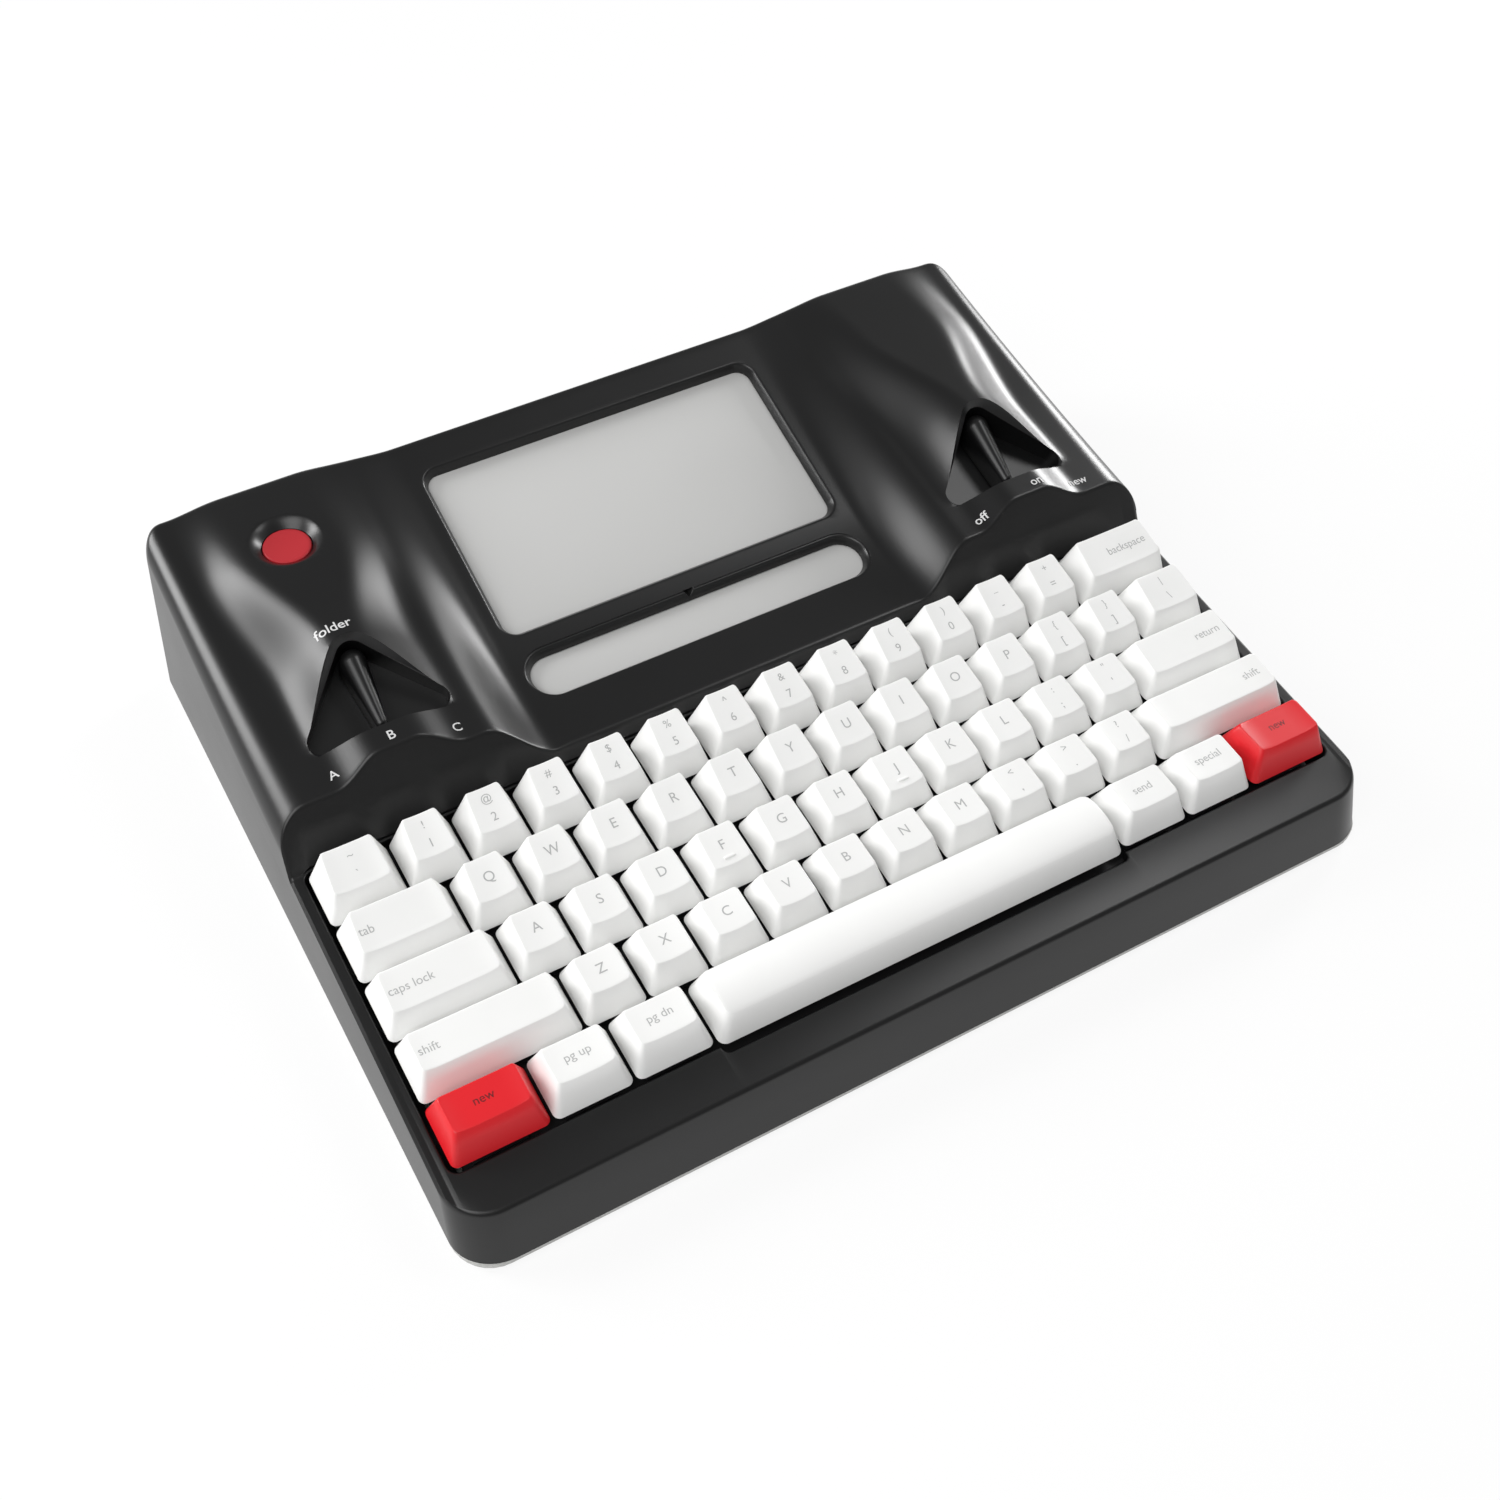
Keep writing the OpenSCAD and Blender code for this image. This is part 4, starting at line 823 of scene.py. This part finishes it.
def space_mesh(edge):
    """Space bar: a convex top that stands a little forward of its cell."""
    w, d = 7 * PITCH - KEY_GAP, (PITCH - KEY_GAP) / 2
    # Its walls come in by these amounts over the run, and the top is an arc of radius crown
    forward, lean_front, lean_back, lean_side, run = 1.3, 4.6, 2.2, 5.6, 14
    high, crown, crown_y = 9.6, 17.0, 0.4

    def side(z):
        """Front and back of the bar at height z."""
        return -d - forward + (lean_front + forward) * z / run, d - lean_back * z / run

    def crown_z(y):
        return high - crown + math.sqrt(max(crown ** 2 - (y + crown_y) ** 2, 0.0))

    def meet(end):
        """Where the crown ends on the front or the back wall."""
        y = 8.0
        for _ in range(30):
            y = side(crown_z(y))[end]
        return y, crown_z(y)

    yf, zf = meet(0)
    yb, zb = meet(1)
    rings = []
    for t in (0.0, 0.4, 0.8, 1.0):
        z0, z1 = zf * t, zb * t
        y0, y1 = side(z0)[0], side(z1)[1]
        half = w / 2 - lean_side * (z0 + z1) / 2 / run
        pts = rounded(2 * half, y1 - y0, 2.6 - 0.6 * t, 6, 40, 6)
        rings.append([(x, y + (y0 + y1) / 2, z0 + (z1 - z0) * (y + (y1 - y0) / 2) / (y1 - y0))
                      for x, y in pts])
    body, mid = rings[-1], (yf + yb) / 2
    keep = max(p[0] for p in body) - (yb - yf) / 2
    rings[-1] = [(x, y, min(z, zf if y < mid else zb) - edge * 0.7) for x, y, z in body]
    for k, lift in ((0.965, -0.25), (0.93, 0.0), (0.8, 0.0), (0.6, 0.0), (0.35, 0.0), (0.1, 0.0)):
        rings.append(shrunk(body, keep, mid, k, lambda x, y: crown_z(y) + lift * edge))
    inner = []
    for t in (0.78, 0.0):
        y0, y1 = side(zf * t)[0] + CAP_WALL, side(zb * t)[1] - CAP_WALL
        half = w / 2 - lean_side * zf * t / run - CAP_WALL
        pts = rounded(2 * half, y1 - y0, 1.4, 6, 40, 6)
        inner.append([(x, y + (y0 + y1) / 2, zf * t) for x, y in pts])
    return hollow_cap(inner, rings, high)


def row_tree(material):
    """Node group that repeats one keycap along its row."""
    tree = bpy.data.node_groups.new("row_of_caps", "GeometryNodeTree")
    sockets = tree.interface
    sockets.new_socket("Geometry", in_out="INPUT", socket_type="NodeSocketGeometry")
    kinds = {"Cap": "Object", "Count": "Int", "Pitch": "Float", "Start": "Vector"}
    ids = {name: sockets.new_socket(name, in_out="INPUT", socket_type="NodeSocket" + kind).identifier
           for name, kind in kinds.items()}
    sockets.new_socket("Geometry", in_out="OUTPUT", socket_type="NodeSocketGeometry")
    row = Nodes(tree)
    start = row.add("NodeGroupInput").outputs
    step = row.add("ShaderNodeCombineXYZ", None, {"X": start["Pitch"]}).outputs[0]
    line = row.add("GeometryNodeMeshLine", {"mode": "OFFSET"},
                   {"Count": start["Count"], "Start Location": start["Start"], "Offset": step}).outputs[0]
    cap = row.add("GeometryNodeObjectInfo", None, {"Object": start["Cap"]}).outputs["Geometry"]
    copies = row.add("GeometryNodeInstanceOnPoints", None, {"Points": line, "Instance": cap}).outputs[0]
    real = row.add("GeometryNodeRealizeInstances", None, {"Geometry": copies}).outputs[0]
    finish = row.add("GeometryNodeSetMaterial", None, {"Geometry": real, "Material": material}).outputs[0]
    row.add("NodeGroupOutput", None, {"Geometry": finish})
    return tree, ids


def repeat_caps(name, cap, count, start, tree, ids):
    """A row's keycaps as one plain mesh in the key frame."""
    host = link_new(name + "_host", bpy.data.meshes.new(name + "_host"))
    step = host.modifiers.new("row", "NODES")
    step.node_group = tree
    step[ids["Cap"]] = cap
    step[ids["Count"]] = count
    step[ids["Pitch"]] = PITCH * MM
    step[ids["Start"]] = (start[0] * MM, start[1] * MM, 0.0)
    mesh = result_of(host)
    bpy.data.objects.remove(host)
    if len(mesh.polygons) < count * 100:
        raise RuntimeError(name + " came out empty")
    mesh.transform(Matrix.LocRotScale(KEY_FRAME.to_translation() * MM, KEY_FRAME.to_quaternion(), None))
    mesh.name = name
    smooth_faces(mesh, CAP_SMOOTH)
    return link_new(name, mesh)


class WP_OT_keycaps(bpy.types.Operator):
    """Builds the keycaps, each node's own"""
    bl_idname = "wordpro.keycaps"
    bl_label = "Keycaps"

    def execute(self, context):
        look = settings()[1]
        edge = look.rounding / MM
        white = moulded("white_keycap", tuple(look.white), 0.42, 0.1, 0.03)
        red = moulded("red_keycap", tuple(look.red), 0.4, 0.1, 0.03)
        for node, row, i in SINGLE_KEYS:
            cap = make_object(node.replace("key_", "cap_"), *cap_mesh(row, ROWS[row][i][1], edge),
                              matrix=KEY_FRAME @ placed(*key_place(row, i)), smooth_angle=CAP_SMOOTH)
            is_red = "red" in node
            dress(cap, red if is_red else white, node, [node])
        bar = make_object("cap_space", *space_mesh(edge), matrix=KEY_FRAME @ placed(*key_place(4, 3)),
                          smooth_angle=CAP_SMOOTH)
        dress(bar, white, "key_space", ["key_space"])
        tree, ids = row_tree(white)
        for node, row, count in KEY_ROWS:
            cap = make_object("one_cap", *cap_mesh(row, 1, edge), smooth_angle=CAP_SMOOTH)
            caps = repeat_caps(node.replace("keys_", "caps_"), cap, count, key_place(row, 1), tree, ids)
            bpy.data.objects.remove(cap)
            dress(caps, white, node, [node])
        home = CapShape(2, 1)
        y_bar = home.yf + HOMING_BACK
        shape = flared(HOMING_W, HOMING_D, 0.44, [(0.0, -0.3), (0.0, 0.2), (-0.12, 0.38), (-0.3, 0.45)], 5)
        for i in HOMING_KEYS:
            x, y = key_place(2, i)
            bar = make_object("homing_bar_%d" % i, *shape, smooth_angle=60.0,
                              matrix=KEY_FRAME @ placed(x, y + y_bar, home.top(0, y_bar)))
            dress(bar, white, "keys_home_row")
        return {"FINISHED"}


# Legends

# Node, its keys' own legends and the legends above them, where a key has one
ROW_LEGENDS = {
    "keys_number_row": ("1234567890-=", "!@#$%^&*()_+"),
    "keys_upper_row": ("QWERTYUIOP[]", "          {}"),
    "keys_home_row": ("ASDFGHJKL;'", '         :"'),
    "keys_lower_row": ("ZXCVBNM,./", "       <>?"),
}
WORDS = {
    "key_tilde": ("`", "~"), "key_backspace": ("backspace", ""), "key_tab": ("tab", ""),
    "key_backslash": ("\\", "|"), "key_caps": ("caps lock", ""), "key_return": ("return", ""),
    "key_shift_left": ("shift", ""), "key_shift_right": ("shift", ""), "key_red_left": ("new", ""),
    "key_page_up": ("pg up", ""), "key_page_down": ("pg dn", ""), "key_send": ("send", ""),
    "key_special": ("special", ""), "key_red_right": ("new", ""),
}
# How far the legends and the marks lie above the surface, and what the marks' strokes gain
LIFT, MARK_LIFT, MARK_WEIGHT = 0.03, 0.12, 0.01
# Height of a word's middle above its line, as a share of its size
WORD_MIDDLE = 0.36
# Places of the legends behind the middle of the keycap, and from its left and right edges
LETTER_UP, LOW_UP, HIGH_UP, WORD_UP = 0.4, -2.4, 3.0, 0.6
LEFT_MARGIN, RIGHT_MARGIN = 1.2, 2.6
# Sizes of the two legends of one keycap, as shares of a single letter's
LOW_SIZE, HIGH_SIZE = 0.86, 0.78


class TextShapes:
    """Flat meshes of words, made once and used on the keycaps and the housing."""

    def __init__(self, words, weight=0.0):
        """Makes the words, with their outlines moved out by weight times their height."""
        self.made = {}
        todo = [w for w in dict.fromkeys(words) if w.strip()]
        objects = []
        for word in todo:
            curve = bpy.data.curves.new("word", "FONT")
            curve.body = word
            curve.size = 1.0
            curve.offset = weight
            curve.resolution_u = 4
            curve.align_x = "CENTER"
            objects.append(link_new("word", curve))
        bpy.context.view_layer.update()
        graph = bpy.context.evaluated_depsgraph_get()
        for word, obj in zip(todo, objects):
            mesh = bpy.data.meshes.new_from_object(obj.evaluated_get(graph))
            verts = [(v.co.x, v.co.y) for v in mesh.vertices]
            self.made[word] = (verts, [tuple(p.vertices) for p in mesh.polygons])
            bpy.data.meshes.remove(mesh)
            bpy.data.objects.remove(obj)

    def put(self, word, height, x, y, lift, turn=0.0, align="CENTER"):
        """The word's mesh with its middle at x, y, lifted by the function lift(x, y)."""
        verts, faces = self.made[word]
        xs = [v[0] for v in verts]
        shift = {"CENTER": (min(xs) + max(xs)) / 2, "LEFT": min(xs), "RIGHT": max(xs)}[align]
        c, s = math.cos(math.radians(turn)), math.sin(math.radians(turn))
        out = []
        for vx, vy in verts:
            u, v = (vx - shift) * height, (vy - WORD_MIDDLE) * height
            px, py = x + u * c - v * s, y + u * s + v * c
            out.append((px, py, lift(px, py)))
        return out, faces


def joined_up(parts):
    """The parts as one mesh, with the faces that look down turned over."""
    verts, faces = join(parts)
    for k, face in enumerate(faces):
        a, b, c = (np.array(verts[i]) for i in face[:3])
        if np.cross(b - a, c - a)[2] < 0:
            faces[k] = tuple(reversed(face))
    return verts, faces


def cap_legend(shapes, row, i, low, high, letter, word):
    """Legend of one keycap, in the key frame."""
    s = CapShape(row, ROWS[row][i][1])
    cx, cy = key_place(row, i)
    mid = (s.yf + s.yb) / 2

    def lift(px, py):
        return s.top(px - cx, py - cy) + LIFT

    if len(low) > 1 and row == 4:
        return [shapes.put(low, word, cx, cy + mid + WORD_UP, lift)]
    if len(low) > 1 and i > 0:
        return [shapes.put(low, word, cx + s.half - RIGHT_MARGIN, cy + mid, lift, align="RIGHT")]
    if len(low) > 1:
        return [shapes.put(low, word, cx - s.half + LEFT_MARGIN, cy + mid, lift, align="LEFT")]
    if high.strip():
        return [shapes.put(low, letter * LOW_SIZE, cx, cy + mid + LOW_UP, lift),
                shapes.put(high, letter * HIGH_SIZE, cx, cy + mid + HIGH_UP, lift)]
    return [shapes.put(low, letter, cx, cy + mid + LETTER_UP, lift)]


class WP_OT_legends(bpy.types.Operator):
    """Prints the letters, digits and words on the keycaps"""
    bl_idname = "wordpro.legends"
    bl_label = "Key legends"

    def execute(self, context):
        look = settings()[1]
        letter, word = look.letter / MM, look.word / MM
        grey = printed("legend_grey", tuple(look.legend))
        pale = printed("legend_pale", tuple(look.red_legend))
        pairs = [*WORDS.values(), *(pair for low, high in ROW_LEGENDS.values() for pair in zip(low, high))]
        shapes = TextShapes([text for pair in pairs for text in pair])
        for node, row, i in SINGLE_KEYS:
            parts = cap_legend(shapes, row, i, *WORDS[node], letter, word)
            self.place(node, parts, pale if "red" in node else grey)
        for node, row, _ in KEY_ROWS:
            parts = []
            for i, pair in enumerate(zip(*ROW_LEGENDS[node])):
                parts += cap_legend(shapes, row, i + 1, *pair, letter, word)
            self.place(node, parts, grey)
        return {"FINISHED"}

    def place(self, node, parts, material):
        dress(make_object("legend_" + node, *joined_up(parts), matrix=KEY_FRAME), material, node)


# Levers, button and displays

def lever_mesh():
    """Tapered round arm on an upright skirt, with its shaft."""
    def outline(big, small, n=16):
        lean = math.degrees(math.asin((big - small) / LEVER_LEN))
        head = arc(0, 0, big, -lean, 180 + lean, n)
        tip = arc(0, -LEVER_LEN, small, 180 + lean, 360 - lean, n)
        return head, tip

    rings = []
    foot = FLOOR_Z + LEVER_GAP
    for z, grow in ((foot, -0.1), (foot + 0.3, 0.0), (-2.5, 0.0), (0.0, 0.0)):
        head, tip = outline(LEVER_R + grow, TIP_R + grow)
        rings.append(flat_ring(head + tip, z))
    for q in np.radians([12, 24, 36, 48, 60, 72, 82, 89]):
        head, tip = outline(LEVER_R * math.cos(q), TIP_R * math.cos(q))
        rings.append(flat_ring(head, LEVER_R * math.sin(q)) + flat_ring(tip, TIP_R * math.sin(q)))
    return join([loft(rings), lathe([(SHAFT_R, FLOOR_Z - 9), (SHAFT_R, FLOOR_Z + 1)], 32)])


def button_mesh():
    """Button with a slightly hollow top, on its flange and stem."""
    top, r, flange = BUTTON_TOP, BUTTON_R, BODY_H - 4.8
    path = [(1.8, flange - 3.5), (1.8, flange - 2), (r + 1.5, flange - 2), (r + 1.5, flange), (r, flange)]
    path += [(r, top - 0.6), (r - 0.18, top - 0.2), (r - 0.6, top), (r - 1.2, top - 0.06)]
    path += [(k * (r - 1.2), top - 0.06 - 0.4 * (1 - k * k)) for k in (0.8, 0.6, 0.4, 0.2, 0.02)]
    return lathe(path, 72)


class WP_OT_controls(bpy.types.Operator):
    """Builds the levers, the power button and the displays' fronts"""
    bl_idname = "wordpro.controls"
    bl_label = "Controls and displays"

    def execute(self, context):
        look, displays = settings()[0], settings()[2]
        black = moulded("lever_moulding", tuple(look.lever), 0.3, 0.02)
        for side, name in ((-1, "left"), (1, "right")):
            sweep = placed(side * POD_X, PIVOT_Y, PIVOT_Z, SWEEP_TILT)
            lever = make_object("arm_" + name, *lever_mesh(), matrix=sweep, smooth_angle=50.0)
            dress(lever, black, name + "_lever", [name + "_lever"])
        button = make_object("button_cap", *button_mesh(), matrix=placed(BUTTON_X, BUTTON_Y),
                             smooth_angle=40.0)
        dress(button, moulded("button_moulding", tuple(look.button), 0.36, 0.08), "power_button",
              ["power_button"])
        glass = display_glass("display_front", tuple(displays.glass))
        seat, edge = BEVEL_DEPTH + 0.6, 0.2
        path = [(0.0, -seat - 1.8), (0.0, -seat - edge), (-0.3 * edge, -seat - edge * 0.3), (-edge, -seat)]
        status_h = STATUS_H + 0.6
        for name, h, r, matrix in (("main_lens", WINDOW_H + 1, 6.0, MAIN_FRAME),
                                   ("status_lens", status_h, status_h / 2 - 0.02, STATUS_FRAME)):
            shape = flared(WINDOW_W + 1, h, r, path, 12)
            front = make_object(name.replace("lens", "front"), *shape, matrix=matrix)
            dress(front, glass, "housing", [name])
        return {"FINISHED"}


# Word, height, place and turn of each mark on the housing
MARKS = [("A", 4.0, -125.7, 13.5, 3), ("B", 4.2, -107.2, 14.8, 0), ("C", 4.0, -88.6, 13.1, -3),
         ("folder", 4.6, -109.0, 49.1, 0), ("off", 4.2, 90.3, 12.9, 3), ("on", 4.2, 111.5, 15.0, 0),
         ("new", 4.0, 127.8, 13.2, -3)]


class WP_OT_marks(bpy.types.Operator):
    """Prints the plain words and letters by the levers"""
    bl_idname = "wordpro.marks"
    bl_label = "Marks on the housing"

    def execute(self, context):
        look = settings()[0]
        shapes = TextShapes([mark[0] for mark in MARKS], MARK_WEIGHT)

        def lift(x, y):
            return top_z(abs(x), y) + MARK_LIFT

        parts = [shapes.put(word, high, x, y, lift, turn) for word, high, x, y, turn in MARKS]
        marks = make_object("marks_print", *joined_up(parts))
        dress(marks, printed("mark_print", tuple(look.mark)), "housing")
        return {"FINISHED"}


class WP_OT_finishes(bpy.types.Operator):
    """Gives the remaining solids their finishes"""
    bl_idname = "wordpro.finishes"
    bl_label = "Other finishes"

    def execute(self, context):
        look = settings()[0]
        finishes = {
            "grey_base": moulded("base_moulding", tuple(look.base), 0.5, 0.2),
            "handle_plastic": moulded("handle_moulding", tuple(look.black), 0.34, 0.15),
            "foot_rubber": moulded("foot_rubber", linear((0.16, 0.16, 0.16)), 0.75, 0.5, 0.08),
            "sheet_steel": brushed("zinc_sheet", linear((0.66, 0.67, 0.7)), 0.35),
            "screw_steel": brushed("screw_steel", linear((0.72, 0.72, 0.74)), 0.28),
            "switch_plastic": moulded("switch_moulding", linear((0.12, 0.12, 0.13)), 0.45, 0.2),
            "circuit_board": circuit("circuit_board", linear((0.08, 0.3, 0.17)),
                                     linear((0.16, 0.42, 0.24))),
            "ribbon_film": moulded("ribbon_film", linear((0.72, 0.5, 0.2)), 0.3, 0.05),
            "battery_wrap": moulded("battery_wrap", linear((0.2, 0.24, 0.32)), 0.35, 0.1),
            "display_panel": display_glass("display_panel", tuple(settings()[2].glass)),
        }
        plate = moulded("plate_paint", linear((0.06, 0.06, 0.065)), 0.5, 0.2)
        slots = {part["node"]: part["material_slot"] for part in frame["record"]["subparts"]}
        for node, obj in frame["nodes"].items():
            material = plate if node == "key_plate" else finishes.get(slots.get(node))
            if material:
                obj.data.materials.clear()
                obj.data.materials.append(material)
        return {"FINISHED"}


# Stage

# Lamps: name, then place, aim, width and height in metres, and share of the key light's power
LAMPS = [
    ("overhead", (-0.75, -0.35, 1.0), (0, 0, 0), 0.9, 0.9, 0.9),
    ("right_panel", (1.15, 0.47, 0.38), (0, 0, 0.05), 0.26, 0.44, 0.8),
    ("left_panel", (-0.94, 0.75, 0.62), (0, 0, 0.03), 0.46, 0.6, 1.1),
    ("right_fill", (0.7, -0.01, 1.1), (0, 0, 0.03), 0.35, 0.35, 0.22),
]
FULL_WATTS = 20
# Half of the floor's width in millimetres, and the share of its own glow that the camera sees
FLOOR_HALF, FLOOR_GLOW = 4000, 0.86
# The photograph's camera, in metres and degrees
CAMERA_PLACE, CAMERA_AZIMUTH, CAMERA_ELEVATION = (-0.1895, -0.2692, 0.3994), -28.14, 52.98
CAMERA_LENS, CAMERA_SHIFT = 39.38, (0.0901, 0.0446)


def soft_light(name, place, target, width, height, watts):
    light = bpy.data.lights.new(name, "AREA")
    light.shape = "RECTANGLE"
    light.size, light.size_y = width, height
    light.energy = watts
    obj = link_new(name, light)
    obj.location = place
    obj.rotation_euler = (Vector(target) - Vector(place)).to_track_quat("-Z", "Y").to_euler()
    return obj


class WP_OT_stage(bpy.types.Operator):
    """Sets the floor, the soft lights and the camera"""
    bl_idname = "wordpro.stage"
    bl_label = "Stage"

    def execute(self, context):
        scene = context.scene
        look = settings()[3]
        scene.view_settings.view_transform = "Standard"
        world = bpy.data.worlds.new("room")
        scene.world = world
        world.use_nodes = True
        room = Nodes(world.node_tree)
        rays = room.add("ShaderNodeLightPath").outputs
        pick = room.add("ShaderNodeMix", None, {0: rays["Is Camera Ray"], 2: look.room, 3: 1.0})
        back = room.nodes["Background"].inputs
        room.set(back["Color"], (1.0, 1.0, 1.0, 1.0))
        room.set(back["Strength"], pick.outputs[0])
        f = Finish("pale_floor")
        f.surface(Base_Color=(*look.backdrop, 1.0), Roughness=0.9)
        glow = f.add("ShaderNodeEmission", None, {"Color": (1.0, 1.0, 1.0, 1.0), "Strength": 1.0})
        rays = f.add("ShaderNodeLightPath").outputs
        seen = (Value(f, rays["Is Camera Ray"]) + Value(f, rays["Is Glossy Ray"])
                + Value(f, rays["Is Transmission Ray"])).clamp()
        mix = f.add("ShaderNodeMixShader", None,
                    {0: seen * FLOOR_GLOW, 1: f.shader.outputs[0], 2: glow.outputs[0]})
        f.set(f.output.inputs["Surface"], mix.outputs[0])
        corners = [(x * FLOOR_HALF, y * FLOOR_HALF, 0) for x, y in ((-1, -1), (1, -1), (1, 1), (-1, 1))]
        floor = make_object("floor", corners, [(0, 1, 2, 3)])
        floor.data.materials.append(f.material)
        for name, place, target, width, height, share in LAMPS:
            light = soft_light(name, place, target, width, height, look.strength * FULL_WATTS * share)
        data = bpy.data.cameras.new("photo_view")
        data.lens = CAMERA_LENS
        data.sensor_width = 36.0
        data.shift_x, data.shift_y = CAMERA_SHIFT
        data.clip_start = 0.01
        camera = link_new("photo_view", data)
        camera.location = CAMERA_PLACE
        azimuth, elevation = math.radians(CAMERA_AZIMUTH), math.radians(CAMERA_ELEVATION)
        ahead = Vector((-math.sin(azimuth) * math.cos(elevation), math.cos(azimuth) * math.cos(elevation),
                        -math.sin(elevation)))
        camera.rotation_euler = ahead.to_track_quat("-Z", "Y").to_euler()
        scene.camera = camera
        return {"FINISHED"}


class WP_PT_panel(bpy.types.Panel):
    """Lists the settings and the steps"""
    bl_idname = "WP_PT_panel"
    bl_label = "Word processor"
    bl_space_type = "VIEW_3D"
    bl_region_type = "UI"
    bl_category = "Word processor"

    def draw(self, context):
        for group in settings():
            box = self.layout.box()
            for name in group.__annotations__:
                box.prop(group, name)
        for operator in OPERATORS:
            self.layout.operator(operator.bl_idname)


GROUPS = {"wp_housing": WordProcessorHousing, "wp_keys": WordProcessorKeys,
          "wp_displays": WordProcessorDisplays, "wp_stage": WordProcessorStage}
OPERATORS = (WP_OT_housing, WP_OT_keycaps, WP_OT_legends, WP_OT_controls, WP_OT_marks, WP_OT_finishes,
             WP_OT_stage)


def register():
    for cls in (*GROUPS.values(), *OPERATORS, WP_PT_panel):
        bpy.utils.register_class(cls)
    for name, cls in GROUPS.items():
        setattr(bpy.types.Scene, name, bpy.props.PointerProperty(type=cls))


def unregister():
    for name in GROUPS:
        delattr(bpy.types.Scene, name)
    for cls in reversed((*GROUPS.values(), *OPERATORS, WP_PT_panel)):
        bpy.utils.unregister_class(cls)


def main():
    register()
    for operator in OPERATORS:
        group, name = operator.bl_idname.split(".")
        getattr(getattr(bpy.ops, group), name)()


if __name__ == "__main__":
    main()
